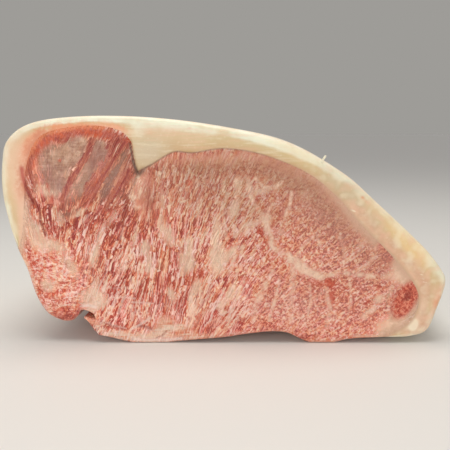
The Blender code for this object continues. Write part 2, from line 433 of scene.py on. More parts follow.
# Fields of the cut face. Each spot: centre, two reaches, turn in degrees, strength.
leanFields = {
    # 1 where the marbling is a fine net, 0 where it is in streaks
    "net": [
        (68, 48, 40, 42, 0, 1.2), (44, 84, 26, 22, 0, 0.5), (92, 25, 30, 30, 0, 0.6),
        (30, 22, 30, 22, 0, 0.6), (0, 104, 40, 10, 0, 0.5), (-4, 52, 12, 14, 0, 0.25),
    ],
    # where the marbling fades into one tone
    "quiet": [
        (-98, 117, 10, 2.6, 24, 0.6), (-80, 122.4, 13, 2.4, 0, 0.6), (-65, 120, 8, 2.4, -14, 0.5),
        (-83, 117.2, 6, 2.8, 0, 0.7), (-70.4, 115, 3.8, 3.2, 0, 0.7), (-96, 102, 10, 12, 0, 1.2),
        (-83, 112, 9, 7, 0, 0.8), (-94, 88, 8, 7, 0, 0.8), (-70, 104, 5, 11, -28, 0.9),
        (-80, 97, 6, 10, -28, 0.9), (-61, 94, 5, 10, -30, 0.8), (-66, 100, 9, 15, -30, 0.45),
        (-76, 90, 4, 7, -28, 0.8), (-106, 98, 5, 14, 0, 0.5), (-82, 80, 22, 11, 0, 0.28),
        (-46, 94, 6, 6, 0, 0.7), (-47.5, 84, 3.6, 12, 0, 0.7), (-33, 78, 18, 20, 0, 0.45),
        (-12, 107, 30, 4.5, 0, 0.8), (32, 102, 26, 5, -22, 0.8), (60, 84, 14, 5, -40, 0.6),
        (78, 66, 5, 18, 42, 0.7), (100, 42, 7, 10, 40, 0.95), (96, 10, 11, 7, 0, 1),
        (-106, 60, 6, 8, 0, 0.5),
    ],
    # where the lobe's short, crossing fibres lie
    "lobe": [
        (-104, 42, 14, 17, 0, 1.1), (-96, 26, 18, 17, 0, 1.1), (-92, 46, 8, 8, 0, 0.4),
    ],
    # clear, greyish fat between the tail and the cap
    "clear": [
        (101, 44.5, 6, 7, 40, 1.2), (107, 36, 6, 9, 30, 1.2), (110, 22, 5, 14, -10, 1.2),
        (103, 9, 10, 7, 0, 1.2), (94, 3, 10, 5, 0, 1), (84, 66, 3, 6, 42, 0.6),
        (93, 30, 3, 8, -20, 0.55), (95, 17, 3, 6, 0, 0.6),
    ],
    # lilac shimmer between the bold streaks
    "lilac": [
        (-67.5, 103, 4, 9, -28, 1), (-57, 97, 2.6, 9, -28, 0.8), (-92, 93, 7, 4, 0, 0.7),
        (-100, 113, 6, 2.5, 30, 0.5), (-82, 78, 21, 11, 0, 0.32), (-54, 112, 2, 3, 0, 0.8),
        (-60, 68, 10, 12, 0, 0.25), (-70, 36, 5, 5, 0, 0.3), (2, 16, 10, 6, 0, 0.35),
        (24, 24, 10, 8, 0, 0.25),
    ],
    # wet places: more contrast, and painted highlights along the streaks
    "wet": [
        (-91.6, 107, 3, 2, 0, 0.4), (-62, 4, 14, 3, -10, 1), (-36, 2.4, 12, 1.8, 3, 0.9),
        (-70, 30, 26, 14, 0, 0.6), (-20, 20, 40, 12, 0, 0.4), (107, 12, 5, 5, 0, 0.8),
        (38, 20, 20, 12, 0, 0.25), (-54, 26, 14, 10, 0, 0.2),
    ],
    # paler patches of fat inside the lean
    "pale": [
        (-103, 89.5, 4.6, 3.8, 0, 0.66), (-96, 87, 4, 3, 0, 0.5), (-34, 65, 4, 7.5, 28, 0.95),
        (-23, 48.5, 4.2, 6.4, 0, 1.3), (-21.5, 58, 2.2, 6, 0, 1), (-5.5, 50, 4.4, 8.5, 0, 1.3),
        (-5.8, 65, 2.1, 9, -4, 1), (2.5, 54, 5.6, 2.2, 52, 0.9), (-46, 56.5, 3, 3.8, 0, 1.2),
        (-44.5, 46.5, 2.6, 5.5, 0, 1), (4, 79, 2.6, 6.5, -25, 0.85), (22, 73, 3.6, 4.5, 0, 0.8),
        (-17.5, 34, 2.2, 4.2, -20, 1.2), (-20.8, 26.5, 1.4, 6, -14, 1.1),
        (-32, 29.4, 1.9, 5, 22, 1.1), (2, 30, 2.4, 5.5, -25, 1), (-4, 23.5, 2.8, 3.6, -30, 0.9),
        (-15.5, 80, 1.8, 8, -6, 0.6), (-36, 84, 1.6, 9, 2, 0.55), (6, 94, 2.6, 4, -10, 0.8),
        (13, 91, 2, 3, 20, 0.6), (19, 88.5, 4.5, 1.8, 0, 0.8), (28, 92, 3, 2, 40, 0.7),
        (12, 70, 5, 1.8, 15, 0.7), (-108.5, 66, 4.6, 9, 14, 0.95), (-48, 91, 3.6, 7.5, 0, 0.7),
        (-77.5, 26, 7, 5.4, 0, 1.6), (-100, 58, 9, 3.8, -8, 1), (-89, 45.5, 3.4, 7.5, 28, 1),
        (-75, 53, 2.6, 8, -20, 0.9), (-70.5, 66, 1.6, 6, -22, 0.6), (-84, 76, 7, 1.6, 32, 0.9),
        (-94, 73.5, 2.4, 4.5, 0, 0.7), (-103, 34.5, 4.2, 3.6, 0, 1), (-64, 74, 1.6, 6, -24, 0.5),
        (-76, 34, 2.6, 6, -30, 0.6), (-60, 46, 1.8, 5, -20, 0.5), (-52, 62, 1.6, 7, -14, 0.45),
        (94, 10, 8, 5.5, 10, 1.2), (101, 43, 6.5, 7, 40, 1), (87, 27, 3.4, 2.4, 40, 0.9),
        (111.5, 33, 3.4, 9, -25, 1.2), (92, 40, 6, 3, 0, 0.5), (107, 13, 6, 5, 40, 1.2),
        (96, 26, 1.8, 8, -30, 0.5), (76, 58, 2.5, 6, -30, 0.5), (30, 66, 4, 3, 0, 0.5),
        (52, 74, 2, 6, -40, 0.35), (44, 88, 2, 5, -36, 0.4),
    ],
    # pale skin folded over the bottom edge
    "skirt": [
        (-66, 5.6, 8, 3.4, -12, 0.7), (-52, 3.2, 12, 3.4, 0, 1.1),
        (-36.5, 10.6, 6.4, 5.4, 20, 1.15), (-27, 9, 6, 4, 0, 0.8), (-30, 3.4, 13, 3.4, 4, 1.1),
        (-8, 3.6, 14, 2.6, 4, 0.3), (10, 6, 12, 2, 4, 0.3), (30, 7.6, 10, 1.6, 0, 0.3),
        (-80, 20.5, 6, 2.6, 0, 0.9), (-112.8, 40, 1.8, 16, 14, 0.8), (52, 1, 20, 2, 0, 0.6),
        (80, 3.4, 14, 2.4, 0, 0.7), (-104, 20, 3, 5, 30, 0.5), (-82, 14, 2.4, 1.6, 0, 0.9),
    ],
    # bright red and orange spots
    "red": [
        (-15.1, 41.3, 2.4, 2.3, 30, 1.5), (-11.5, 49.5, 1.6, 1.6, 30, 0.8),
        (18.7, 66.5, 2.4, 3.4, -30, 1.1), (24, 60, 1.5, 5, -20, 0.8),
        (27.5, 53.5, 3, 1.3, -30, 0.9), (-25.7, 56, 2, 2.6, 0, 1), (-48.7, 50.2, 2.1, 2.4, 0, 1.1),
        (-42.5, 54.5, 1.2, 3.6, 0, 0.9), (-22, 14.8, 1.3, 1.9, 0, 1.2),
        (-1.5, 21, 1, 2.8, -45, 0.9), (4.3, 15.6, 1.8, 1.4, 0, 0.9),
        (58.5, 36.2, 4.2, 2.6, -38, 1.5), (60, 27.5, 2.2, 3.9, 0, 1.35),
        (68.4, 33.6, 1.8, 1.8, 0, 0.8), (42.5, 30.6, 1.5, 1.3, 0, 0.8),
        (86.9, 33, 2.6, 2.4, 0, 0.9), (80.3, 24.6, 1.1, 3, -40, 1), (-92, 105.9, 1.2, 1.1, 0, 1),
        (-107.2, 30.5, 2.6, 3.8, 10, 0.6), (-101.1, 25.2, 2.2, 3.8, 0, 0.6),
        (-112.4, 52, 2, 5, 18, 0.7), (-108.5, 40, 2.2, 6, 12, 0.5), (-94, 36.5, 5, 2.2, -20, 0.5),
        (-92, 46.5, 5, 1.6, -20, 0.45), (-72, 10.4, 4, 1.5, -12, 0.9),
        (-62.5, 10.4, 4.4, 1.9, -5, 0.9), (-50, 10.5, 3.6, 1.4, 20, 0.8),
        (-20.5, 94, 1.7, 5, 0, 0.8), (-64, 32, 2, 4.4, -20, 0.8), (-34, 20, 1.8, 4.4, -10, 0.7),
        (-97.5, 84, 1.3, 3.4, -8, 1.1), (-99.5, 91.5, 1, 2.8, 10, 0.8),
        (-18, 24, 1.6, 5, -12, 0.6), (-7, 36, 1.4, 4.4, -20, 0.6), (-88, 78, 1.5, 2, -30, 0.8),
        (90, 58, 2, 2, 0, 0.6), (46, 11, 2.4, 1.4, 0, 0.6), (58, 8, 2, 3, 0, 0.5),
        (-68, 20, 1.6, 3.6, -20, 0.7), (-26, 38, 1.3, 4, -8, 0.6),
    ],
    # broad changes of depth of colour, pale where negative; the spot at (-95, 16) is painted shade
    # under the lobe's rounded bottom
    "deep": [
        (-72.5, 107, 6, 9, -28, 0.8), (-101, 80.5, 5.6, 4, 0, 0.8), (-101, 97, 9, 7, 0, 0.8),
        (-86, 74, 22, 12, 0, 1.15), (-59, 73, 10, 14, 0, 0.85), (-104, 78, 4, 12, 0, 0.6),
        (-64, 38, 13, 16, 0, 0.6), (-46, 78, 5, 12, 0, 0.25), (-38, 76, 4, 14, 0, 0.3),
        (-42, 34, 14, 12, 0, 0.45), (-18, 76, 18, 14, 0, 0.1), (60, 68, 14, 10, -30, 0.4),
        (90.2, 54.6, 4.8, 7.4, 10, 1.3), (68, 27, 12, 8, 0, 0.25), (44, 28, 9, 9, 0, 0.2),
        (32, 92, 8, 5, 0, 0.35), (10, 100, 16, 3, 0, 0.3), (-95, 16, 10, 4, 0, 1.3),
        (-60, 99, 10, 15, -28, 1.5), (-56, 89, 5, 8, 0, 0.6), (-74, 92, 5, 6, 0, 0.6),
        (-72, 84, 12, 6, 0, 0.35), (-100, 40, 12, 14, 0, -0.65), (-74, 52, 8, 7, 0, -0.25),
        (-40, 18, 26, 8, 0, -0.35), (4, 40, 16, 18, 0, -0.45), (-2, 14, 26, 7, 0, -0.5),
        (-30, 46, 16, 12, 0, -0.25), (70, 50, 20, 12, 0, 0.25), (76, 24, 14, 10, 0, 0.2),
        (-54, 27, 18, 11, 0, 0.45), (38, 22, 14, 9, 0, 0.2), (2, 77, 14, 12, 0, -0.5),
        (-32, 78, 12, 14, 0, -0.35), (5, 89, 19, 12, 0, -0.5), (34, 89, 14, 7, -24, -0.25),
    ],
    # brown-pink zone under the fat
    "brown": [
        (-62, 100, 9, 17, -28, 0.8), (-76, 90, 6, 6, 0, 0.5), (-45, 87, 6, 14, 0, 0.7),
        (-12, 104, 36, 10, 0, 1), (36, 98, 30, 11, -24, 1), (66, 74, 26, 13, -44, 0.8),
        (20, 82, 44, 14, -15, 0.45), (-24, 86, 26, 12, 0, 0.45), (90, 46, 16, 10, 0, 0.35),
        # the spot at (-95, 15) is painted shade under the lobe's rounded bottom
        (0, 76, 40, 14, 0, 0.25), (-95, 15, 10, 3.4, 0, 0.6),
    ],
    # pinker meat
    "pink": [
        (-100, 36, 17, 20, 0, 0.85), (-60, 20, 30, 16, 0, 0.9), (-14, 14, 44, 14, 0, 0.6),
        (40, 14, 40, 14, 0, 0.35), (80, 12, 22, 12, 0, 0.4),
    ],
    # the greyish patch and bands of the left muscle
    "grey": [
        (-83, 117.2, 6, 2.8, 0, 0.9), (-70.4, 115, 3.8, 3.2, 0, 1), (-95, 104, 11, 11, 0, 1.3),
        (-83, 111, 9, 7, 0, 1), (-95, 90, 8, 7, 0, 0.9), (-75, 101.5, 3.4, 12, -35, 1.35),
        (-62.5, 98, 2.6, 9.5, -32, 1.15), (-80, 91, 3.4, 6, -30, 0.9), (-68, 88, 2.2, 6, -28, 0.8),
        (-88, 76, 6, 2.6, 30, 0.6), (-68, 111, 4, 4, 0, 0.9), (-56.5, 108, 2.4, 4.5, -20, 0.7),
        (-61, 86, 8, 7, 0, 0.35), (-88, 80, 9, 6, 0, 0.3),
    ],
    # meat that leans towards orange
    "orange": [
        (-82, 119, 30, 4, 0, 0.8), (-108, 106, 5, 12, -20, 0.5), (-65, 111.5, 1.8, 3.4, -30, 1),
        (-72, 94, 1.6, 5, -32, 0.8), (-64, 114, 4, 4, 0, 0.8), (22, 62, 5, 8, -30, 0.6),
        (-112, 47, 4, 12, 14, 0.9), (-106, 30, 4, 9, 14, 0.6), (-24, 14, 30, 6, 4, 0.45),
        (66, 30, 10, 8, 0, 0.3), (-52, 24, 15, 12, 0, 0.5), (-28, 32, 18, 14, 0, 0.35),
        (31, 49, 6, 3.4, -40, 0.9), (52, 36, 8, 2.6, -10, 0.9), (-104, 26, 7, 8, 0, 0.4),
        (-42, 50, 8, 8, 0, 0.3),
    ],
    # the tail muscle and its dark heart
    "tail": [(102.4, 26.2, 5.7, 10.6, -28, 1.1)],
    "tailDark": [(103.6, 28.4, 2.8, 4.8, -30, 1)],
}

# Bold red streaks of the left muscle: points, half width in mm, strength
redLines = [
    ([(-73.7, 116.9), (-75.6, 111.4), (-78, 107), (-81.6, 102.6), (-85.2, 97), (-87.7, 92.6),
      (-90.2, 87.5), (-92.7, 83.6)], 1.8, 1.3),
    ([(-70.8, 117.6), (-74.6, 111.4), (-78.2, 106), (-81.1, 100)], 0.6, 0.9),
    ([(-56.6, 115.3), (-57.8, 113.1), (-61.3, 107.6), (-65.5, 102.1), (-69, 96.5), (-72.1, 89.8),
      (-74.6, 84.7)], 1.5, 1.15),
    ([(-59.8, 118.6), (-63.2, 115.8), (-65.6, 113.1)], 1.8, 0.8),
    ([(-59.4, 117.4), (-61.8, 113), (-63.6, 108)], 2.7, 1.1),
    ([(-77.4, 93), (-78.4, 88), (-79.8, 83)], 1.6, 0.9),
    ([(-73, 98), (-75, 93), (-77, 88.6)], 1.7, 0.85),
    ([(-93.4, 117.6), (-89.6, 116.4), (-86.6, 117.6)], 1.5, 0.85),
    ([(-54.4, 99.8), (-58.6, 93.8), (-62.2, 88), (-66.6, 79)], 1.9, 1),
    ([(-53.1, 90.3), (-54.9, 84.7), (-57.9, 80.2)], 1.2, 0.8),
    ([(-54, 87.6), (-56.4, 79), (-58.4, 69)], 1.5, 1),
    ([(-90.1, 90.3), (-90.3, 85.8), (-92.3, 80.2)], 1.5, 0.85),
    ([(-72.1, 91.4), (-75.6, 88.1), (-79.2, 83.6), (-80.5, 80.2)], 1.3, 0.8),
    ([(-107, 108.1), (-108.8, 104.3), (-108.6, 98.6), (-107.4, 94), (-106.6, 89.5)], 2.1, 1),
]
# Red streaks along the left border, which the lean and the fat share
edgeStreaks = [
    ([(-113.2, 101.4), (-112.8, 97), (-111.4, 91), (-109.8, 86.4), (-107, 82.4)], 1.4, 1.3),
    ([(-107, 82.4), (-104.8, 78.6), (-104.6, 72), (-102.2, 64)], 1.2, 1),
]
# Painted shade in the seams by the wedge and in the creases and gaps low down: points, half width
# in mm, strength
creaseShadeLines = [
    ([(-52.9, 114.6), (-52.2, 111), (-51.6, 106)], 0.65, 1.1),
    ([(-51.6, 106), (-50.4, 101.6), (-49, 98.6)], 0.95, 1.2),
    ([(-50.2, 99.6), (-48.4, 98.2), (-46.4, 100.4)], 1.3, 1.1),
    ([(-49.4, 98.4), (-50.6, 95), (-51.4, 92.5)], 0.7, 0.7),
    ([(-46.4, 100.4), (-42, 103.4)], 0.6, 0.7),
    ([(-51, 10.4), (-47.4, 9.8), (-44.6, 8.4)], 0.9, 1),
    ([(-42.3, 2.6), (-38, 4.5), (-35.5, 7.2)], 0.45, 0.8),
    ([(-73, 13), (-66, 9.6), (-59, 8.2)], 0.6, 0.45), ([(51, 10), (51.2, 6), (50.8, 1)], 0.5, 0.6),
]
# Painted highlights, white glints, and pale score marks: points, half width in mm, strength
highlightAndScoreLines = [
    ([(-67.3, 27.4), (-60, 27.8), (-53.1, 26.9)], 0.5, 0.9),
    ([(-55, 24.8), (-48, 24.4), (-43.5, 24)], 0.5, 0.9),
    ([(-65, 33), (-58, 33.6), (-52, 33.2)], 0.4, 0.5),
    ([(-56, 8.4), (-50, 11.6), (-44.6, 15.3)], 0.8, 1),
    ([(-41.4, 1.8), (-37.2, 3.7), (-34.6, 6.4)], 0.5, 0.8),
    ([(-72.6, 14), (-65.6, 10.6), (-59, 9)], 0.5, 0.8),
    ([(-55, 2.4), (-46, 1.7), (-36, 1.9), (-27, 2.7)], 1.3, 1.2),
    ([(-83, 22.4), (-80, 22.6), (-76, 21.6)], 1.1, 1.2), ([(-77, 27.6), (-75, 22)], 0.7, 0.6),
    ([(-52.6, 19.6), (-49.6, 11.6)], 0.6, 0.7), ([(-21, 28), (-19, 22)], 0.6, 0.7),
    ([(-10, 36), (-12, 30)], 0.5, 0.6), ([(-82, 71), (-78, 75)], 0.8, 0.5),
    ([(-60, 62), (-58, 68)], 0.6, 0.5), ([(110, 31), (113, 30.4)], 0.5, 0.7),
]
# Orange-red band inside the fat of the left muscle
rimBand = [
    (-108.4, 102), (-107.5, 109), (-104.4, 113.6), (-100.6, 116.9), (-96.5, 119),
    (-91, 118.6), (-86, 120.8), (-80, 122.6), (-74, 122.4), (-68, 120.8),
    (-62.5, 119.2), (-58, 117.4), (-56.6, 116),
]
rimBandReach = 4.0  # how far from its line the band fades out, in mm

# Pale veins of fat between the bundles of the eye muscle: points, half width in mm, strength
fatVeins = [
    ([(21.8, 71.8), (19, 76.5), (14.5, 82.9), (11.8, 90.3), (11.8, 94.9)], 1.4, 0.95),
    ([(16.3, 95.8), (20.8, 91.2), (27.2, 90.3), (30.8, 94)], 1.3, 0.95),
    ([(36.3, 88.4), (35.4, 82), (32.7, 74.6), (30.8, 69.1)], 1, 0.9),
    ([(25.4, 82.9), (23.6, 78), (21.8, 72.6)], 0.9, 0.85),
    ([(52.7, 58), (49.9, 65.4), (43.6, 58), (39.9, 53.4)], 1, 0.85),
    ([(16.3, 61.7), (14.5, 48.8)], 0.9, 0.8), ([(5.4, 94.9), (5.4, 86)], 1.3, 0.8),
    ([(9, 58), (3.6, 48.8), (0.9, 41.4)], 1.3, 0.9),
    ([(21.6, 71), (23.9, 63.5), (26.2, 57.2), (32.5, 54)], 2.3, 1.2),
    ([(29, 56), (37.1, 50), (43, 45)], 2.8, 1.3),
    ([(37.1, 49.5), (43.5, 43.5), (53.9, 40)], 2.4, 1.25),
    ([(50, 41), (57.9, 40.6), (65.3, 42.5), (74, 41.3), (83.2, 40.2)], 1.6, 0.75),
    ([(65.3, 42.5), (66.9, 49.6), (66.1, 56.6), (64, 62)], 1.6, 0.65),
    ([(21, 72.2), (15.9, 71), (10.2, 68.7), (5.1, 64.1)], 1.9, 0.75),
    ([(37.1, 47.8), (37.6, 37.2), (36.2, 25.2), (36.9, 13.2)], 1.9, 0.65),
    ([(25.7, 43.1), (23, 37.2), (17.2, 25.2), (15.4, 14.4)], 1.9, 0.62),
    ([(56.4, 32.4), (59.4, 21.6), (57.4, 8.9)], 1.8, 0.6),
    ([(87.8, 26.5), (83.8, 20.4), (78.3, 15.6)], 2.1, 0.75),
    ([(-49.4, 96.8), (-52, 93), (-53, 88), (-50, 80)], 2.4, 0.8),
    ([(0, 62), (-1.5, 70), (-2, 80), (0.5, 88)], 1.4, 0.55),
    ([(84, 52), (79, 47), (72, 43)], 1.4, 0.55), ([(54, 30), (48, 24), (44, 14)], 1.3, 0.45),
    ([(-12, 44), (-13, 34), (-17, 24)], 1.3, 0.5), ([(6, 44), (3, 34), (-1, 26)], 1.4, 0.5),
    ([(12, 44), (9, 36), (4, 24), (0, 14)], 1, 0.8), ([(70, 36), (71, 26), (69, 14)], 0.9, 0.75),
    ([(47, 36), (48, 26), (46, 16)], 0.9, 0.75), ([(30, 40), (28, 28), (24, 14)], 1, 0.75),
]


def lineField(home, lines):
    # the strongest of the lines at each place; a line fades by a bell curve of its distance
    best = np.zeros(home.shape[:-1])
    for line, halfWidth, strength in lines:
        gap = distanceTo(home, np.array(line, float)) / halfWidth
        best = np.maximum(best, strength * np.exp(-gap * gap))
    return best


def seamNear(home):
    # distance to the seam, as a share of the reach
    seamLine = seamAt(np.linspace(0, len(seamLeft) + len(seamRight) - 2, seamPoints))
    return np.clip(distanceTo(home, seamLine) / seamReach, 0, 1)


def leanLayers(grid):
    # every field is its spots' sum at the section place; lines count by their distance
    home = grid["home"]
    x, z = home[..., 0], home[..., 1]
    field = {key: np.clip(spots(x, z, leanFields[key]), -1, 1.5) for key in leanFields}
    band = np.exp(-((distanceTo(home, np.array(rimBand)) / rimBandReach) ** 2))
    veins, highlightsAndScores = lineField(home, fatVeins), lineField(home, highlightAndScoreLines)
    streaks = lineField(home, redLines + edgeStreaks)
    layers = asLayers({
        "zones": [field["net"], field["quiet"], field["lobe"], grid["cut"]],
        "marks": [veins, seamNear(home), field["tail"], field["tailDark"]],
        "tints": [field["brown"], field["pink"], field["grey"], field["deep"]],
        "spots": [field["pale"], field["red"], streaks, band],
        "edges": [field["skirt"], lineField(home, creaseShadeLines), field["wet"], field["orange"]],
        "clears": [field["clear"], field["lilac"], highlightsAndScores, np.ones_like(x)],
    })
    layers["fibres"] = ("FLOAT_VECTOR", fibreRun(home))
    return layers


def fatLayers(grid):
    # as leanLayers, from the fat's own spots
    home = grid["home"]
    x, z = home[..., 0], home[..., 1]
    field = {key: np.clip(spots(x, z, fatFields[key]), 0, 1) for key in fatFields}
    # red streaks, and painted shade along the creases by the wedge
    lines = lineField(home, creaseShadeLines + edgeStreaks)
    return asLayers({
        "face": [seamNear(home), grid["cut"], grid["across"], field["grey"]],
        "tints": [field["pink"], field["yellow"], field["orange"], field["whiteFatAndHighlights"]],
        "edges": [field["peach"], lines, field["topside"], field["clear"]],
    })


# Fields of the fat, as those of the cut face
fatFields = {
    # peach blush where the cap meets the left muscle
    "peach": [
        (-84, 123.5, 34, 4, 0, 1.1), (-110, 112, 6, 8, -36, 1), (-115, 92, 4, 20, 0, 0.45),
        (-114, 68, 4, 14, 10, 0.25),
    ],
    # the layered fat above the eye muscle
    "topside": [(-30, 120, 50, 14, 0, 1), (20, 114, 40, 10, -14, 0.6)],
    # clear, greyish fat inside the cap's right side
    "clear": [
        (74, 74, 7, 14, 42, 0.9), (92, 57, 6, 12, 42, 1), (106, 42, 6, 10, 30, 1),
        (113, 26, 4, 14, -6, 0.9), (106, 10, 12, 6, 10, 0.9),
    ],
    # duller fat in the wedge and on the right shoulder
    "grey": [
        (-43, 110, 12, 10, 0, 1), (70, 85, 6, 12, 40, 0.8), (82, 70, 8, 8, 40, 0.7),
        (58, 95, 8, 4, -40, 0.5),
    ],
    # tones of the cut rim
    "pink": [
        (-112, 110, 10, 12, 0, 0.8), (-113, 88, 7, 22, 0, 0.9), (-119, 96, 4, 14, 0, 0.5),
        (-40, 121, 12, 3, 0, 0.5), (-20, 118, 12, 4, 0, 0.25), (108, 44, 6, 12, 30, 0.6),
        (120, 28, 4, 8, -10, 0.8), (82, 78, 6, 6, 0, 0.4), (110, 12, 12, 8, 0, 0.9),
    ],
    "yellow": [
        (92, 70, 6, 22, 44, 0.9), (108, 54, 8, 12, 44, 0.8), (40, 110, 16, 4, -25, 0.4),
        (-122, 92, 4, 20, 0, 0.2),
    ],
    "orange": [
        (-84, 124.4, 16, 1.5, -2, 0.75), (-106, 119, 6, 2.4, 36, 0.6),
        (-111, 110, 4, 9, -24, 0.55), (-60, 124, 7, 1.8, -22, 0.7), (75.8, 85.3, 1, 0.8, 0, 0.6),
        (77.4, 83.6, 3.6, 1.5, -38, 0.42), (-20, 123.5, 1.6, 0.7, 0, 0.5),
        (-42, 121, 2.4, 1.4, 0, 0.4), (120.8, 26, 2.2, 9, -14, 0.8), (36, 114.5, 3, 1, -15, 0.35),
        (91, 57.2, 3.4, 1.3, -45, 0.65),
    ],
    # whiter fat, with painted highlights: the thin dashes near (112, 38) and (111, 41)
    "whiteFatAndHighlights": [
        (107.6, 11, 2.1, 3, -8, 1.3), (70.8, 77.8, 2, 0.6, -20, 1), (112, 22, 7, 11, -10, 0.46),
        (102, 11, 9, 4.5, 0, 0.42), (104, 51, 5, 9, 40, 0.4), (111.6, 38.6, 2, 0.4, -8, 0.6),
        (112.8, 36.6, 2.2, 0.4, -12, 0.6), (82, 60.5, 1.2, 1.2, 0, 0.8),
        (42, 109, 18, 2.2, -24, 0.4), (0, 119, 26, 2.6, -6, 0.35), (111, 41, 2, 0.5, -15, 0.6),
        (-119.5, 68, 2.6, 9, 12, 0.6),
    ],
}

# The lean
leanForm = {
    "lobe": [
        (-118.1, 56.6), (-113.9, 41.5), (-110.4, 27.5), (-105.2, 17.4), (-97, 12.8),
        (-90.2, 13), (-86.6, 16.8), (-84.4, 19.9), (-80.6, 19.4), (-77.4, 17.4),
        (-76.6, 14.6), (-76.8, 9.6), (-75.4, 5.2),
    ],
    "underside": [
        (-75.4, 5.2), (-65, 2.2), (-55, 0), (-46, -0.2), (-36, 0),
        (-20, 1.5), (-3.4, 2.9), (11, 5.1), (25, 6.6), (34, 6),
        (41, 2.9), (48, 0), (55, -0.2), (62, 0), (72, 2.2), (93.3, 4),
    ],
    # pairs of a place on the outside below and the place on the seam over it
    "rungs": [
        (0, 0), (0.6, 1), (1.3, 2), (2.1, 3), (3, 4), (4, 5),
        (5.4, 5.6), (7.2, 6), (9.5, 6.6), (12.3, 7), (13, 8), (13.6, 9),
        (14.2, 10), (15, 11), (16.4, 12), (17.3, 13), (18.5, 14),
        (19.9, 15), (22, 16), (24, 17), (25.3, 18), (26.2, 19),
        (26.5, 20), (26.7, 21), (26.85, 22), (27, 23),
    ],
    "rim": [  # rounding of the cut edge, by place on the outside
        (0, 0.3), (1, 3), (3, 5), (5, 4), (6.5, 1.5), (8, 0.9),
        (12, 0.9), (13, 2.4), (26, 2.4), (27, 0.6),
    ],
    "rimShare": 0.4,  # of the room between the outside and the seam, at most
    "columns": 390,
    "rows": {"face": 132, "rim": 5, "side": 52, "far": 46, "wall": 4},
    "flap": [
        (-72, 13.5), (-76.6, 14.6), (-79.4, 15.2), (-82.4, 15.8), (-83.4, 15),
        (-81.4, 13), (-79, 9.6), (-77.2, 7), (-74, 5.2), (-70, 8), (-72, 13.5),
    ],
    "flapCentre": (-75.5, 11),
    # the flap's front end: depth and share of full size
    "flapFront": [(0.9, 0), (1, 0.83), (1.4, 0.92), (1.9, 0.97), (2.5, 1)],
    "flapShort": 8,  # it ends this far before the far cut
    "flapBack": [(-2, 1), (0, 0.6), (0.5, 0)],  # its back end, with depths from there
    "flapPoints": 60,
    "flapRings": 40,
    "ribSpacing": 47,  # troughs that the rib bones left across the underside
    "ribShift": 9,
    "ribDepth": 1.6,
    "ribSpan": (-34, 44),
    "ribFade": 14,  # they start and end over this much of the width
    "ribHeights": (7, 10),  # whole below the first height, gone above the second
    "cordSize": 2.6,  # cords of fibre along the bare sides
    "cordStretch": 9,  # they are so many times longer than wide
    "cord": 0.28,
    "cordFade": 0.3,  # power of the sine by which they fade at both ends
}


def leanOutside(place):
    # the lobe's curve as far as the flap, then the underside's
    return joinedCurves(leanForm["lobe"], leanForm["underside"], place)


def leanSide(xz, share):
    # Rib troughs are a cosine of the depth, faded in and out along x. Cords are lattice
    # noise stretched along the depth, pushed inwards only, and fade at both ends.
    f = leanForm
    x, z = xz[:, 0], xz[:, 1]
    y = -blockForm["depth"] / 2 + blockForm["depth"] * share
    (start, end), (whole, gone) = f["ribSpan"], f["ribHeights"]
    across = np.clip((x - start) / f["ribFade"], 0, 1) * np.clip((end - x) / f["ribFade"], 0, 1)
    low = np.clip((gone - z) / (gone - whole), 0, 1)
    wave = 0.5 - 0.5 * np.cos(2 * np.pi * (y + f["ribShift"]) / f["ribSpacing"])
    raised = z + f["ribDepth"] * across * low * wave
    space = np.stack([x, raised, np.full(len(x), y / f["cordStretch"])], axis=1)
    inward = f["cord"] * (0.5 + 0.5 * softNoise(space, f["cordSize"], seed=11))
    inward = inward * np.sin(np.pi * share) ** f["cordFade"]
    ribbed = np.stack([x, raised], axis=1)
    return keptAbove(ribbed - inward[:, None] * outwardOf(ribbed, -1), 0.0)


def makeFlap():
    # The flap by the notch: its outline keeps its shape through the depth, with both ends
    # drawn in over the last few millimetres.
    depth = blockForm["depth"]
    corners, centre = leanForm["flap"], np.array(leanForm["flapCentre"])
    outline = curveAt(corners, np.linspace(0, len(corners) - 1, leanForm["flapPoints"]))
    front, back = leanForm["flapFront"], leanForm["flapBack"]
    last = depth - leanForm["flapShort"]
    steps = np.linspace(front[-1][0], last + back[0][0], leanForm["flapRings"])
    middle = [(y, 1.0) for y in steps[1:]]
    ends = [(last + y, share) for y, share in back[1:]]
    placed = []
    for y, share in [*front, *middle, *ends]:
        x, z = carriedBack(centre[None, :], y / depth)[0]
        placed.append(((x, y - depth / 2, z), share))
    return carriedLoop(outline[:-1], centre, placed)


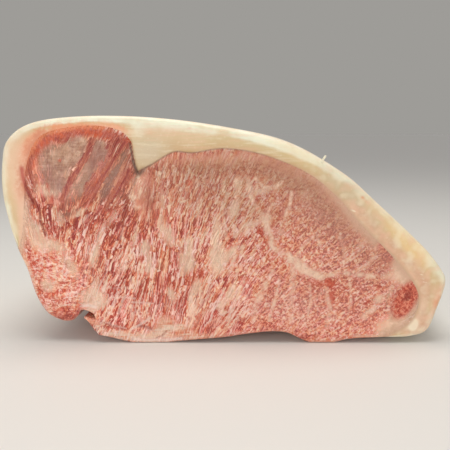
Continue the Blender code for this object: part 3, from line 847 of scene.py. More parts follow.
# The fat cap
capForm = {
    "outside": [
        (-118.1, 56.6), (-122.6, 72), (-125, 87), (-124.6, 102.5), (-120.6, 117),
        (-105.7, 126.6), (-75, 130), (-37.4, 128.9), (0, 124), (34, 116),
        (64.4, 99.2), (83.5, 83), (111, 57.6), (122.2, 44), (125.2, 36),
        (121.5, 21.5), (116.2, 7.6), (107, 3.9), (93.3, 4),
    ],
    "rungs": [
        (0, 0), (1, 1.2), (2, 2.1), (3, 3.1), (4, 3.8), (5, 4.9),
        (6, 6.1), (6.4, 7.1), (6.6, 8), (6.66, 9), (6.72, 10), (6.9, 11),
        (7.2, 12), (7.6, 13.1), (8, 14.1), (8.7, 15.1), (9.5, 16.1), (10.2, 17.1),
        (11, 18.1), (12, 19), (13.2, 19.9), (14.3, 20.8), (15.2, 21.4),
        (16.2, 22), (17.2, 22.6), (18, 23),
    ],
    "rim": [
        (0, 0.3), (1.5, 2), (4, 2.6), (5.5, 3.2), (7, 3.2), (8, 4),
        (9, 5), (10, 3.4), (11, 2.4), (14, 2.2), (16.5, 3.2), (18, 0.4),
    ],
    # the strand's way, its radius and its shares of that along the way
    "strand": [(52.2, -73.6, 103.6), (53.1, -74, 105.6), (54, -74.2, 107.2), (54.9, -74.4, 108.6)],
    "strandRadius": 0.62,
    "strandPoints": 14,
    "strandShares": [0, 1.25, 1.2, 1.1, 1, 0.95, 0.95, 0.95, 1, 1.05, 1.1, 1, 0.7, 0],
    "rimShare": 0.45,
    "columns": 420,
    "rows": {"face": 26, "rim": 8, "side": 104, "far": 16, "wall": 4},
    "girth": 420,  # the way round the outside, on which the swells are counted
    "lump": 0.7,  # slow swells, as in the solid
    "lumpTurns": 5,  # half waves over the girth
    "lumpTurned": 0.8,  # radians by which they start on
    "lumpLength": 58,
    "lumpShift": 20,
    "slant": 0.5,  # strength of the smaller swells, which run aslant
    "slantTurns": 9,
    "slantLength": 41,
    "smoothFront": 5,  # no swells so near the cut, and whole ones after the next 25 mm
    "swellGrowth": 25,
    "swellEdge": 0.06,  # they fade over so much of the turn at both ends of the outline
    "dimple": 0.35,
    "dimpleSize": 9,
    "fineDimple": 0.4,  # strength of those a third as large
    "dimpleSunk": 0.4,  # taken off, so that most of them lie lower than the skin
}


def capOutside(place):
    # the one curve of the cap's outside
    return curveAt(capForm["outside"], place)


def capSide(xz, share):
    # two sine waves in turn and depth, plus dimples of lattice noise, along the normals
    f = capForm
    y = -blockForm["depth"] / 2 + blockForm["depth"] * share
    length = np.linalg.norm(np.diff(xz, axis=0), axis=1)
    turn = np.concatenate([[0], np.cumsum(length)]) / f["girth"] * np.pi
    around = np.sin(f["lumpTurns"] * turn + f["lumpTurned"])
    wave = around * np.sin(2 * np.pi * (y + f["lumpShift"]) / f["lumpLength"])
    aslant = np.sin(f["slantTurns"] * turn + 2 * np.pi * y / f["slantLength"])
    wave = wave + f["slant"] * aslant
    fade = np.clip((y + blockForm["depth"] / 2 - f["smoothFront"]) / f["swellGrowth"], 0, 1)
    space = np.stack([xz[:, 0], np.full(len(xz), y), xz[:, 1]], axis=1)
    small = softNoise(space, f["dimpleSize"] / 3, seed=22)
    dimple = softNoise(space, f["dimpleSize"], seed=21) + f["fineDimple"] * small
    ends = np.minimum(turn, turn[-1] - turn) / f["swellEdge"]
    height = f["lump"] * wave * fade + f["dimple"] * (dimple - f["dimpleSunk"]) * fade
    height = height * np.clip(ends, 0, 1)
    return xz + height[:, None] * outwardOf(xz, 1)


def makeStrand():
    # a thin strand of fat that stands off the cut edge, round and thinner towards its end
    way, shares = capForm["strand"], capForm["strandShares"]
    path = curveAt(way, np.linspace(0, len(way) - 1, len(shares)))
    turn = np.linspace(0, 2 * math.pi, capForm["strandPoints"] + 1)[:-1]
    ring = capForm["strandRadius"] * np.stack([np.cos(turn), np.sin(turn)], axis=1)
    strand = carriedLoop(ring, np.zeros(2), list(zip(path, shares)))
    strand["home"] = strand["place"][..., [0, 2]]
    return strand


# Shader helpers: each takes sockets or plain numbers and gives back the new node's output
def colour(r, g, b):
    # a colour given from 0 to 255, as the linear light that a shader takes
    screen = np.array([r, g, b]) / 255
    light = np.where(screen < 0.04045, screen / 12.92, ((screen + 0.055) / 1.055) ** 2.4)
    return (*light.tolist(), 1.0)


def readLook(look):
    # the same dictionary with its colours, and its lists of colours, as linear light
    ready = dict(look)
    for key, value in look.items():
        if isinstance(value, tuple):
            ready[key] = colour(*value)
        elif isinstance(value, list):
            ready[key] = [colour(*tone) for tone in value]
    return ready


def toneRamp(tree, value, tones):
    # evenly spaced colours along the value, from 0 to 1
    node = tree.nodes.new("ShaderNodeValToRGB")
    points = node.color_ramp.elements
    points.remove(points[1])
    points[0].color = tones[0]
    for step, tone in enumerate(tones[1:], 1):
        points.new(step / (len(tones) - 1)).color = tone
    put(tree, value, node.inputs[0])
    return node.outputs[0]


def put(tree, value, socket):
    # a link where the value is a socket, and else the number or colour itself
    if isinstance(value, bpy.types.NodeSocket):
        tree.links.new(value, socket)
    else:
        socket.default_value = value


def putAll(tree, node, values):
    # the same for several sockets by name
    for name, value in values.items():
        put(tree, value, node.inputs[name])
    return node.outputs


def sums(tree, operation, a, b=0.0, clamp=False):
    # one step of arithmetic with two numbers, kept within 0 and 1 where clamp is on
    node = tree.nodes.new("ShaderNodeMath")
    node.operation = operation
    node.use_clamp = clamp
    put(tree, a, node.inputs[0])
    put(tree, b, node.inputs[1])
    return node.outputs[0]


def times(tree, a, b):
    # a times b
    return sums(tree, "MULTIPLY", a, b)


def plus(tree, a, b):
    # a plus b
    return sums(tree, "ADD", a, b)


def less(tree, a, b):
    # a less b
    return sums(tree, "SUBTRACT", a, b)


def swing(tree, value, amount):
    # a noise less its middle of one half, times the amount
    return times(tree, less(tree, value, 0.5), amount)


def eased(tree, value, low, high, toLow=0.0, toHigh=1.0):
    # from toLow to toHigh by 3t^2 - 2t^3, where t is how far the value is from low to high
    node = tree.nodes.new("ShaderNodeMapRange")
    node.interpolation_type = "SMOOTHSTEP"
    ends = {"From Min": low, "From Max": high, "To Min": toLow, "To Max": toHigh}
    return putAll(tree, node, {"Value": value, **ends})["Result"]


def blend(tree, share, a, b, kind="MIX"):
    # a colour that goes from a to b with the share, or a with that share of b added
    node = tree.nodes.new("ShaderNodeMix")
    node.data_type = "RGBA"
    node.blend_type = kind
    put(tree, share, node.inputs[0])
    put(tree, a, node.inputs[6])
    put(tree, b, node.inputs[7])
    return node.outputs[2]


def laidOver(tree, base, coats):
    # tones laid over a base one after the other, each by its share
    for share, tone in coats:
        base = blend(tree, share, base, tone)
    return base


def noise(tree, place, scale, detail=2.0, roughness=0.5, distortion=0.0, output="Fac"):
    # slow or fine clouds from 0 to 1, or a colour of three of them
    node = tree.nodes.new("ShaderNodeTexNoise")
    settings = {"Scale": scale, "Detail": detail, "Roughness": roughness}
    return putAll(tree, node, {"Vector": place, "Distortion": distortion, **settings})[output]


def vectors(tree, operation, a, b):
    # one step of arithmetic with two vectors, part by part
    node = tree.nodes.new("ShaderNodeVectorMath")
    node.operation = operation
    put(tree, a, node.inputs[0])
    put(tree, b, node.inputs[1])
    return node.outputs[0]


def scaled(tree, place, by):
    # x, y and z times one number each
    return vectors(tree, "MULTIPLY", place, by)


def pushed(tree, place, by, amount):
    # a place moved by a noise colour less its middle grey, times the amount
    offset = vectors(tree, "SUBTRACT", by, (0.5, 0.5, 0.5))
    return vectors(tree, "ADD", place, scaled(tree, offset, (amount, amount, amount)))


def axes(tree, vector):
    # x, y and z apart
    node = tree.nodes.new("ShaderNodeSeparateXYZ")
    tree.links.new(vector, node.inputs[0])
    return node.outputs[:3]


def places(tree):
    # the place on the object in metres, the same in millimetres, and its x and z in metres
    metres = tree.nodes.new("ShaderNodeTexCoord").outputs["Object"]
    x, _, z = axes(tree, metres)
    return metres, scaled(tree, metres, (perMetre, perMetre, perMetre)), x, z


def layer(tree, name):
    # the four fields of one of the mesh's layers: red, green, blue and alpha
    node = tree.nodes.new("ShaderNodeAttribute")
    node.attribute_name = name
    split = tree.nodes.new("ShaderNodeSeparateColor")
    tree.links.new(node.outputs["Color"], split.inputs[0])
    return [*split.outputs[:3], node.outputs["Alpha"]]


def part(tree, share, a, b):
    # a number that goes from a to b with the share
    node = tree.nodes.new("ShaderNodeMix")
    node.data_type = "FLOAT"
    put(tree, share, node.inputs[0])
    put(tree, a, node.inputs[2])
    put(tree, b, node.inputs[3])
    return node.outputs[0]


def frayed(tree, field, flecks, amount, low, high, most):
    # A share whose border is frayed by flecks: the field plus the flecks times the amount, none
    # of them where the field is nought, eased from nothing at low to the most at high.
    push = times(tree, times(tree, flecks, amount), eased(tree, field, 0.0, 0.4))
    return eased(tree, plus(tree, field, push), low, high, 0.0, most)


def newGroup(name, inputs, outputs):
    # a node group with named sockets: its tree, what comes in and what goes out
    tree = bpy.data.node_groups.new(name, "ShaderNodeTree")
    for label, kind, value in inputs:
        socket = tree.interface.new_socket(label, in_out="INPUT", socket_type=kind)
        if value is not None:
            socket.default_value = value
    for label, kind in outputs:
        tree.interface.new_socket(label, in_out="OUTPUT", socket_type=kind)
    comesIn, goesOut = tree.nodes.new("NodeGroupInput"), tree.nodes.new("NodeGroupOutput")
    return tree, comesIn.outputs, goesOut.inputs


def useGroup(tree, group, values):
    # the outputs of a group that is given these values
    node = tree.nodes.new("ShaderNodeGroup")
    node.node_tree = group
    return putAll(tree, node, values)


grainForm = {
    "waver": 0.65,  # radians by which the direction wavers
    "waverScale": 0.08,
    "turnStep": 0.10,  # direction, width and length are rounded to these steps
    "widthStep": 0.3,
    "lengthStep": 4.0,
    "thinnest": 0.8,
    "lengthShare": 0.9,  # the streaks are so much of the table's length
    "shortest": 2.6,
    "depthShare": 0.12,  # the streaks change slowly along the depth
}


def makeGrainGroup():
    # Where a place lies in streak widths, streak lengths and depth. The direction wavers by
    # noise and is rounded to whole steps, so that bundles with one direction each lie side by
    # side with ragged borders; width and length are rounded in the same way.
    tree, start, end = newGroup(
        "fibreBundles",
        [("Place", "NodeSocketVector", None), ("Run", "NodeSocketVector", None)],
        [("Grain", "NodeSocketVector")],
    )
    f = grainForm
    x, y, z = axes(tree, start["Place"])
    direction, width, length = axes(tree, start["Run"])
    waver = swing(tree, noise(tree, start["Place"], f["waverScale"], 3.0, 0.6), f["waver"])
    turn = sums(tree, "SNAP", plus(tree, direction, waver), f["turnStep"])
    width = sums(tree, "SNAP", plus(tree, width, f["widthStep"] / 2), f["widthStep"])
    length = sums(tree, "SNAP", plus(tree, length, f["lengthStep"] / 2), f["lengthStep"])
    width = sums(tree, "MAXIMUM", width, f["thinnest"])
    length = sums(tree, "MAXIMUM", times(tree, length, f["lengthShare"]), f["shortest"])
    sine, cosine = sums(tree, "SINE", turn), sums(tree, "COSINE", turn)
    across = less(tree, times(tree, x, sine), times(tree, z, cosine))
    along = plus(tree, times(tree, x, cosine), times(tree, z, sine))
    grain = {
        "X": sums(tree, "DIVIDE", across, width),
        "Y": sums(tree, "DIVIDE", along, length),
        "Z": times(tree, y, f["depthShare"]),
    }
    joined = putAll(tree, tree.nodes.new("ShaderNodeCombineXYZ"), grain)
    tree.links.new(joined[0], end["Grain"])
    return tree


def crossingLines(tree, place, stretch, width, height):
    # thin lines where a noise on the stretched place crosses its middle value
    clouds = noise(tree, scaled(tree, place, stretch), 1.0, 1.0)
    apart = sums(tree, "ABSOLUTE", less(tree, clouds, 0.5))
    return eased(tree, apart, 0.0, width, height, 0.0)


fleckForm = {
    "sway": 1.5,  # how far the place wavers, in streak widths
    "swayStretch": (0.3, 1.6, 0.5),
    "large": 2.5,
    "largeScale": 1.15,
    "tiny": 1.2,
    "tinyScale": 2.3,
    "tinyStretch": (1.3, 1.0, 1.0),
    "speckScale": 0.8,
    "middle": 0.46,
    # pale threads, partly painted highlights beside the dark streaks, and dark gaps: stretch of
    # the place, width, strength
    "threadsAndHighlights": ((1.5, 0.8, 1.0), 0.05, 0.28),
    "gaps": ((1.3, 0.6, 0.7), 0.055, 0.42),
    # fine lines inside the bold streaks
    "lineStretch": (1.6, 0.3, 1.0),
    "lineEnds": (0.40, 0.60),
}


def makeFleckGroup():
    # Streaky flecks on a place counted in streak widths and lengths. The place wavers, more
    # across the streaks than along. One noise there gives the flecks, a finer one breaks them
    # up, and specks without a direction roughen both. Thin dark gaps and pale threads, partly
    # painted highlights, run where two more noises cross their middles.
    tree, start, end = newGroup(
        "fibreFlecks",
        [
            ("Place", "NodeSocketVector", None),
            ("Speck Place", "NodeSocketVector", None),
            ("Speck", "NodeSocketFloat", 0.6),
        ],
        [("Flecks", "NodeSocketFloat"), ("Lines", "NodeSocketFloat")],
    )
    f, place = fleckForm, start["Place"]
    slow = noise(tree, scaled(tree, place, f["swayStretch"]), 1.0, output="Color")
    moved = pushed(tree, place, slow, f["sway"])
    large = noise(tree, moved, f["largeScale"], 2.0, 0.6)
    tiny = noise(tree, scaled(tree, moved, f["tinyStretch"]), f["tinyScale"], 2.0, 0.6)
    speck = noise(tree, start["Speck Place"], f["speckScale"], 2.0, 0.6)
    threadsAndHighlights = crossingLines(tree, moved, *f["threadsAndHighlights"])
    gaps = crossingLines(tree, moved, *f["gaps"])
    body = plus(tree, swing(tree, large, f["large"]), swing(tree, tiny, f["tiny"]))
    rough = plus(tree, swing(tree, speck, start["Speck"]), f["middle"])
    value = plus(tree, plus(tree, body, rough), gaps)
    lines = noise(tree, scaled(tree, moved, f["lineStretch"]), 1.0, 1.0)
    tree.links.new(sums(tree, "SUBTRACT", value, threadsAndHighlights, True), end["Flecks"])
    tree.links.new(eased(tree, lines, *f["lineEnds"]), end["Lines"])
    return tree


netForm = {
    "shake": 2.4,  # how far the place is shaken, in mm
    "shakeScale": 0.33,
    "commas": 2.8,
    "commaScale": 0.74,
    "middle": 0.67,
    # pale worms and rays: stretch of the place, width, strength
    "worms": ((0.42, 0.42, 0.42), 0.05, 0.28),
    "rays": ((0.46, 0.16, 0.5), 0.045, 0.42),
}


def makeNetGroup():
    # Fine marbling with hardly any direction: dark commas where a shaken noise is high, and
    # pale wormy lines where another one crosses its middle, and longer pale rays along the
    # grain. The place is in millimetres.
    tree, start, end = newGroup(
        "marblingNet",
        [("Place", "NodeSocketVector", None), ("Grain", "NodeSocketVector", None)],
        [("Islands", "NodeSocketFloat")],
    )
    f, place = netForm, start["Place"]
    shake = noise(tree, place, f["shakeScale"], 2.0, 0.6, output="Color")
    moved = pushed(tree, place, shake, f["shake"])
    commas = noise(tree, moved, f["commaScale"], 2.0, 0.6)
    worms = crossingLines(tree, moved, *f["worms"])
    rays = crossingLines(tree, start["Grain"], *f["rays"])
    body = plus(tree, swing(tree, commas, f["commas"]), f["middle"])
    value = sums(tree, "SUBTRACT", body, plus(tree, worms, rays), True)
    tree.links.new(value, end["Islands"])
    return tree


moistForm = {
    "patchScale": 70.0,
    "patchEnds": (0.35, 0.65),
    "waveScale": 220.0,
    "poreScale": 900.0,
    "pores": 0.35,  # their height, where that of the waves is one
}


def makeMoistGroup():
    # Moist skin: roughness goes between two values with slow noise, and the height joins
    # slow waves with fine pores. Places are in metres.
    tree, start, end = newGroup(
        "moistSkin",
        [
            ("Place", "NodeSocketVector", None),
            ("Wet", "NodeSocketFloat", 0.3),
            ("Dry", "NodeSocketFloat", 0.5),
        ],
        [("Roughness", "NodeSocketFloat"), ("Height", "NodeSocketFloat")],
    )
    f, place = moistForm, start["Place"]
    patch = noise(tree, place, f["patchScale"], 3.0, 0.6)
    rough = eased(tree, patch, *f["patchEnds"], start["Wet"], start["Dry"])
    pores = times(tree, noise(tree, place, f["poreScale"], 2.0, 0.6), f["pores"])
    tree.links.new(rough, end["Roughness"])
    tree.links.new(plus(tree, pores, noise(tree, place, f["waveScale"])), end["Height"])
    return tree


# where along the seam its looks change: from x to x or from z to z, in metres
seamLooks = {
    "lineStart": (-0.048, -0.044),
    "lineFading": (0.0, 0.06),
    "farRight": (0.025, 0.075),
    "topLeft": (0.098, 0.114),
}


def makeSeamGroup():
    # The seam's thin line: what is near the seam, none of it left of the wedge, and less and
    # less to the right. The way along the face is in metres.
    tree, start, end = newGroup(
        "seamLine",
        [("Along", "NodeSocketFloat", 0.0), ("Near", "NodeSocketFloat", 0.0)],
        [("Share", "NodeSocketFloat")],
    )
    shown = times(tree, start["Near"], eased(tree, start["Along"], *seamLooks["lineStart"]))
    fading = eased(tree, start["Along"], *seamLooks["lineFading"], 0.8, 0.0)
    tree.links.new(times(tree, shown, fading), end["Share"])
    return tree


def newMaterial(name):
    # a material, its tree and its shader
    material = bpy.data.materials.new(name)
    material.use_nodes = True
    tree = material.node_tree
    return material, tree, tree.nodes["Principled BSDF"]


def finishShader(tree, shader, look, tone, height, roughness):
    # the tone, the roughness, the height as a bump, and the look's own numbers for the shine
    tree.links.new(tone, shader.inputs["Base Color"])
    tree.links.new(roughness, shader.inputs["Roughness"])
    bump = tree.nodes.new("ShaderNodeBump")
    relief = {"Height": height, "Distance": look["bumpHeight"], "Strength": look["bump"]}
    tree.links.new(putAll(tree, bump, relief)["Normal"], shader.inputs["Normal"])
    for name, value in look["shine"].items():
        shader.inputs[name].default_value = value


grainGroup = makeGrainGroup()
fleckGroup = makeFleckGroup()
netGroup = makeNetGroup()
moistGroup = makeMoistGroup()
seamGroup = makeSeamGroup()

leanLook = {
    # five tones from fat to lean, once pinkish and once towards orange
    "cool": [(250, 210, 198), (242, 175, 158), (230, 134, 118), (202, 86, 70), (150, 42, 34)],
    "warm": [(250, 212, 184), (242, 180, 146), (234, 142, 106), (212, 94, 56), (162, 54, 28)],
    "brown": (172, 127, 96),
    "brownDark": (144, 92, 66),
    "mist": (218, 174, 156),
    "salmon": (92, 36, 42),  # added where the meat is pinker
    "greyPatch": (130, 86, 66),
    "greyWarm": (166, 131, 104),
    "greyDeep": (138, 90, 76),
    "lilac": (162, 118, 108),
    "orangeRim": (206, 82, 30),
    "rimPink": (178, 74, 50),
    "crimson": (146, 38, 30),
    "streakPink": (180, 94, 68),
    "tailGlow": (196, 108, 92),
    "brightRed": (206, 84, 54),
    "cream": (246, 212, 186),
    "skirtTones": [(226, 132, 100), (236, 166, 134), (244, 200, 172), (250, 222, 200)],
    # painted highlight colour, also for the pale score marks
    "highlightAndScore": (252, 222, 210),
    "vein": (234, 188, 162),
    "paleGreen": (232, 210, 180),
    "clearFat": (214, 178, 148),
    "tailTones": [(236, 156, 128), (220, 114, 86), (200, 80, 56), (158, 48, 32)],
    "tailDark": (134, 28, 16),
    # painted shade for the creases, greyer higher up and redder low down
    "creaseShade": (116, 90, 76),
    "lowCreaseShade": (168, 78, 62),
    "seamSoft": (226, 132, 88),
    "seamRed": (196, 102, 74),
    "seamPale": (234, 192, 165),
    "seamLine": (150, 114, 90),
    "softRight": (206, 166, 140),
    "skin": (222, 168, 146),
    "skinRed": (196, 118, 100),
    "skinFat": (236, 204, 178),
    "fatOver": (236, 222, 196),
    "contrast": 1.5,
    "middle": 0.45,
    "deepening": 0.24,
    # what is left of the contrast where a field is whole
    "quietLeft": 0.25,
    "brownLeft": 0.75,
    "netLeft": 1.06,
    "wetLeft": 1.45,
    "lobeLeft": 0.60,
    "wet": 0.24,
    "dry": 0.42,
    "bumpHeight": 0.0004,
    "bump": 0.8,
    "shine": {
        "Subsurface Weight": 0.08,
        "Subsurface Radius": (1.0, 0.35, 0.25),
        "Subsurface Scale": 0.0012,
        "Coat Weight": 0.08,
        "Coat Roughness": 0.22,
    },
}


# how the borders of the lean's fields are frayed: strength of the flecks, where the share
# starts and where it is whole, and how much it is at most
leanBorders = {
    "grey": (1.0, 0.0, 1.05, 0.86),
    "band": (0.3, 0.15, 0.9, 0.90),
    "redLine": (0.6, 0.25, 0.9, 0.92),
    "pale": (1.2, 0.28, 0.95, 0.80),
    "redSpot": (0.7, 0.2, 1.1, 0.85),
    "vein": (1.0, 0.1, 1.2, 0.88),
    "skirt": (1.0, 0.25, 1.0, 0.9),
    "clear": (0.4, 0.3, 0.85, 0.92),
    "tail": (0.35, 0.12, 0.62, 1.0),
    "tailDark": (0.6, 0.2, 0.9, 0.65),
}


def makeLeanMaterial():
    # The mesh's fields say where each tone lies, and the flecks fray its border. The tones are
    # laid one over the other, from the marbling up to the glints.
    look, border = readLook(leanLook), leanBorders
    material, tree, shader = newMaterial("marbledLean")
    net, quiet, lobe, cut = layer(tree, "zones")
    vein, seamGap, tail, tailDark = layer(tree, "marks")
    brown, pink, grey, deep = layer(tree, "tints")
    pale, redSpot, redLine, band = layer(tree, "spots")
    skirt, dark, wet, orange = layer(tree, "edges")
    clear, lilac, highlightAndScore, _ = layer(tree, "clears")
    run = tree.nodes.new("ShaderNodeAttribute")
    run.attribute_name = "fibres"
    metres, place, x, z = places(tree)
    grain = useGroup(tree, grainGroup, {"Place": place, "Run": run.outputs["Vector"]})["Grain"]

    streaks = useGroup(tree, fleckGroup, {"Place": grain, "Speck Place": place})
    islands = useGroup(tree, netGroup, {"Place": place, "Grain": grain})["Islands"]
    lobeGrain = scaled(tree, place, (0.30, 0.34, 0.52))
    lobeFlecks = useGroup(tree, fleckGroup, {"Place": lobeGrain, "Speck Place": place})["Flecks"]
    flecks = part(tree, net, streaks["Flecks"], part(tree, 0.7, streaks["Flecks"], islands))
    flecks = part(tree, lobe, flecks, lobeFlecks)
    ragged = less(tree, flecks, 0.5)
    mottle = noise(tree, place, 0.22, 3.0, 0.6)
    patches = noise(tree, place, 0.075)
    clumps = noise(tree, scaled(tree, grain, (0.33, 0.55, 1.0)), 1.0)

    # tone: 0 pale, 1 dark; the contrast falls where the field is quiet
    contrast = eased(tree, quiet, 0.0, 1.0, 1.0, look["quietLeft"])
    for field, low, high, left in (
        (brown, 0.2, 1.0, look["brownLeft"]),
        (net, 0.3, 1.0, look["netLeft"]),
        (wet, 0.05, 0.6, look["wetLeft"]),
        (lobe, 0.3, 1.0, look["lobeLeft"]),
    ):
        contrast = times(tree, contrast, eased(tree, field, low, high, 1.0, left))
    centred = times(tree, times(tree, ragged, contrast), look["contrast"])
    drift = swing(tree, clumps, part(tree, net, 1.1, 0.3))
    drift = plus(tree, swing(tree, patches, 0.35), drift)
    tone = plus(tree, plus(tree, centred, look["middle"]), drift)
    tone = plus(tree, tone, times(tree, deep, look["deepening"]))

    hue = eased(tree, noise(tree, scaled(tree, grain, (0.5, 0.5, 1.0)), 1.0), 0.38, 0.62)
    meat = blend(tree, hue, toneRamp(tree, tone, look["cool"]), toneRamp(tree, tone, look["warm"]))
    brownTone = blend(tree, eased(tree, tone, 0.3, 0.9), look["brown"], look["brownDark"])
    meat = blend(tree, times(tree, brown, 0.6), meat, brownTone)
    meat = blend(tree, times(tree, pink, 0.9), meat, look["salmon"], "ADD")
    meat = blend(tree, eased(tree, net, 0.3, 1.2, 0.0, 0.22), meat, look["mist"])
    orangeShare = times(tree, orange, eased(tree, tone, 0.3, 0.8, 0.1, 0.6))
    meat = blend(tree, orangeShare, meat, look["orangeRim"])
    # the quiet grey patch, with faint level lines
    levels = noise(tree, scaled(tree, place, (0.10, 0.12, 0.9)), 1.0, 2.0, 0.6)
    greyTone = blend(tree, eased(tree, clumps, 0.36, 0.62), look["greyPatch"], look["greyWarm"])
    greyTone = laidOver(tree, greyTone, [
        (eased(tree, levels, 0.42, 0.68, 0.0, 0.16), look["cream"]),
        (eased(tree, mottle, 0.46, 0.68, 0.0, 0.30), look["cream"]),
        (eased(tree, deep, 0.0, 1.0, 0.0, 0.7), look["greyDeep"]),
    ])
    meat = blend(tree, frayed(tree, grey, ragged, *border["grey"]), meat, greyTone)
    lilacShare = times(tree, lilac, eased(tree, tone, 0.2, 0.8, 0.75, 0.2))
    meat = blend(tree, lilacShare, meat, look["lilac"])
    # orange to crimson rim, bold streaks made of fine lines, pale patches and red spots
    bandTone = blend(tree, eased(tree, mottle, 0.4, 0.62), look["orangeRim"], look["rimPink"])
    bandTone = blend(tree, times(tree, streaks["Lines"], 0.2), bandTone, look["crimson"])
    streakTone = blend(tree, streaks["Lines"], look["streakPink"], look["crimson"])
    paleTone = blend(tree, eased(tree, mottle, 0.4, 0.6), look["cream"], look["vein"])
    paleTone = blend(tree, times(tree, streaks["Lines"], 0.5), paleTone, look["paleGreen"])
    redTone = eased(tree, flecks, 0.45, 0.9, 0.0, 0.5)
    redTone = blend(tree, redTone, look["brightRed"], look["crimson"])
    meat = laidOver(tree, meat, [
        (frayed(tree, band, ragged, *border["band"]), bandTone),
        (frayed(tree, redLine, ragged, *border["redLine"]), streakTone),
        (frayed(tree, pale, ragged, *border["pale"]), paleTone),
        (frayed(tree, redSpot, ragged, *border["redSpot"]), redTone),
    ])
    # veins, frayed by the flecks and thinner and thicker along their way, and folded skin
    vein = times(tree, vein, eased(tree, mottle, 0.36, 0.60, 0.5, 1.15))
    fraying = plus(tree, times(tree, ragged, 0.9), swing(tree, patches, 1.2))
    veinTone = blend(tree, eased(tree, mottle, 0.38, 0.6), look["vein"], look["cream"])
    folds = noise(tree, scaled(tree, place, (0.07, 0.1, 0.34)), 1.0, 3.0, 0.6, 0.6)
    skirtTone = toneRamp(tree, eased(tree, folds, 0.34, 0.64), look["skirtTones"])
    # clear fat, and the tail muscle in it
    clearTone = blend(tree, eased(tree, mottle, 0.38, 0.64), look["clearFat"], look["cream"])
    tailEdge = frayed(tree, tail, ragged, *border["tail"])
    tailTone = toneRamp(tree, eased(tree, islands, -0.2, 1.3), look["tailTones"])
    darkShare = frayed(tree, tailDark, ragged, *border["tailDark"])
    tailTone = blend(tree, darkShare, tailTone, look["tailDark"])
    meat = laidOver(tree, meat, [
        (frayed(tree, vein, fraying, *border["vein"]), veinTone),
        (frayed(tree, skirt, ragged, *border["skirt"]), skirtTone),
        (frayed(tree, clear, ragged, *border["clear"]), clearTone),
        (eased(tree, tail, 0.06, 0.42, 0.0, 0.5), look["tailGlow"]),
        (times(tree, tailEdge, 0.97), tailTone),
    ])
    # the seam: a peach blush on the left, a thin dark line by the wedge, a blur on the right
    gap = times(tree, seamGap, seamReach)
    near = less(tree, gap, times(tree, ragged, 1.8))
    reach = eased(tree, z, 0.082, 0.096, 4.8, 2.8)
    blush = times(tree, eased(tree, x, -0.060, -0.070), eased(tree, near, 0.6, reach, 0.96, 0.0))
    blush = times(tree, blush, eased(tree, redLine, 0.5, 1.1, 1.0, 0.2))
    blushTone = blend(tree, eased(tree, z, 0.078, 0.092), look["seamPale"], look["seamRed"])
    blushTone = blend(tree, eased(tree, z, *seamLooks["topLeft"]), blushTone, look["seamSoft"])
    # painted shade in the creases: redder low down, greyer higher up
    creaseShadeTone = blend(tree, eased(tree, z, 0.03, 0.07), look["lowCreaseShade"], look["creaseShade"])
    width = eased(tree, x, 0.040, 0.084, 3.0, 7.6)
    farRight = eased(tree, x, *seamLooks["farRight"])
    blur = times(tree, eased(tree, near, 0.6, width, 0.92, 0.0), farRight)
    blur = times(tree, blur, eased(tree, tail, 0.03, 0.4, 1.0, 0.0))
    blur = times(tree, blur, eased(tree, deep, 0.2, 0.8, 1.0, 0.05))
    close = eased(tree, gap, 0.2, 0.9, 0.7, 0.0)
    thinLine = useGroup(tree, seamGroup, {"Along": x, "Near": close})["Share"]
    # painted highlights: glints along the streaks where it is wet, and the listed highlight and
    # score lines
    paintedGlints = times(tree, eased(tree, streaks["Lines"], 0.6, 1.0, 0.0, 0.75), wet)
    meat = laidOver(tree, meat, [
        (blush, blushTone),
        (thinLine, look["seamLine"]),
        (times(tree, dark, 0.8), creaseShadeTone),
        (blur, look["softRight"]),
        (sums(tree, "MAXIMUM", paintedGlints, times(tree, highlightAndScore, 0.82)), look["highlightAndScore"]),
    ])

    # bare sides: thin skin over fibres that run along the depth, and fat that comes over them
    sideGrain = scaled(tree, place, (0.35, 0.05, 0.35))
    cords = useGroup(tree, fleckGroup, {"Place": sideGrain, "Speck Place": place})["Flecks"]
    films = noise(tree, place, 0.06, 3.0, 0.6)
    over = plus(tree, eased(tree, z, 0.034, 0.058), less(tree, films, 0.5))
    side = laidOver(tree, blend(tree, cords, look["skin"], look["skinRed"]), [
        (eased(tree, films, 0.48, 0.66, 0.0, 0.85), look["skinFat"]),
        (eased(tree, over, 0.5, 0.8), look["fatOver"]),
    ])
    whole = blend(tree, eased(tree, cut, 0.05, 0.8), side, meat)
    wetness = {"Wet": look["wet"], "Dry": look["dry"]}
    moist = useGroup(tree, moistGroup, {"Place": metres, **wetness})
    sunk = times(tree, flecks, eased(tree, quiet, 0.0, 1.0, -2.0, -0.5))
    height = plus(tree, sunk, moist["Height"])
    finishShader(tree, shader, look, whole, height, moist["Roughness"])
    return material


fatLook = {
    "outer": (230, 231, 208),
    "mid": (205, 182, 136),
    "inner": (198, 163, 117),
    "innerPink": (230, 186, 158),
    "greyFat": (202, 184, 156),
    "pinkFat": (236, 190, 164),
    "yellowFat": (246, 209, 148),
    "orangeSpot": (222, 140, 92),
    "whiteFat": (244, 232, 206),
    "seamSoft": (224, 138, 88),
    "seamRed": (208, 130, 94),
    "seamLine": (160, 122, 98),
    "streakRed": (184, 84, 62),
    # painted shade for the creases by the wedge
    "creaseShade": (116, 90, 76),
    "clearFat": (212, 167, 138),
    "clearPale": (223, 186, 154),
    "skin": (238, 228, 206),
    "skinWarm": (234, 216, 188),
    "skinPink": (232, 214, 192),
    "softRight": (204, 168, 138),
    "wet": 0.34,
    "dry": 0.52,
    "bumpHeight": 0.0003,
    "bump": 0.45,
    "shine": {
        "Subsurface Weight": 0.12,
        "Subsurface Radius": (1.0, 0.6, 0.4),
        "Subsurface Scale": 0.002,
        "Coat Weight": 0.1,
        "Coat Roughness": 0.25,
    },
}


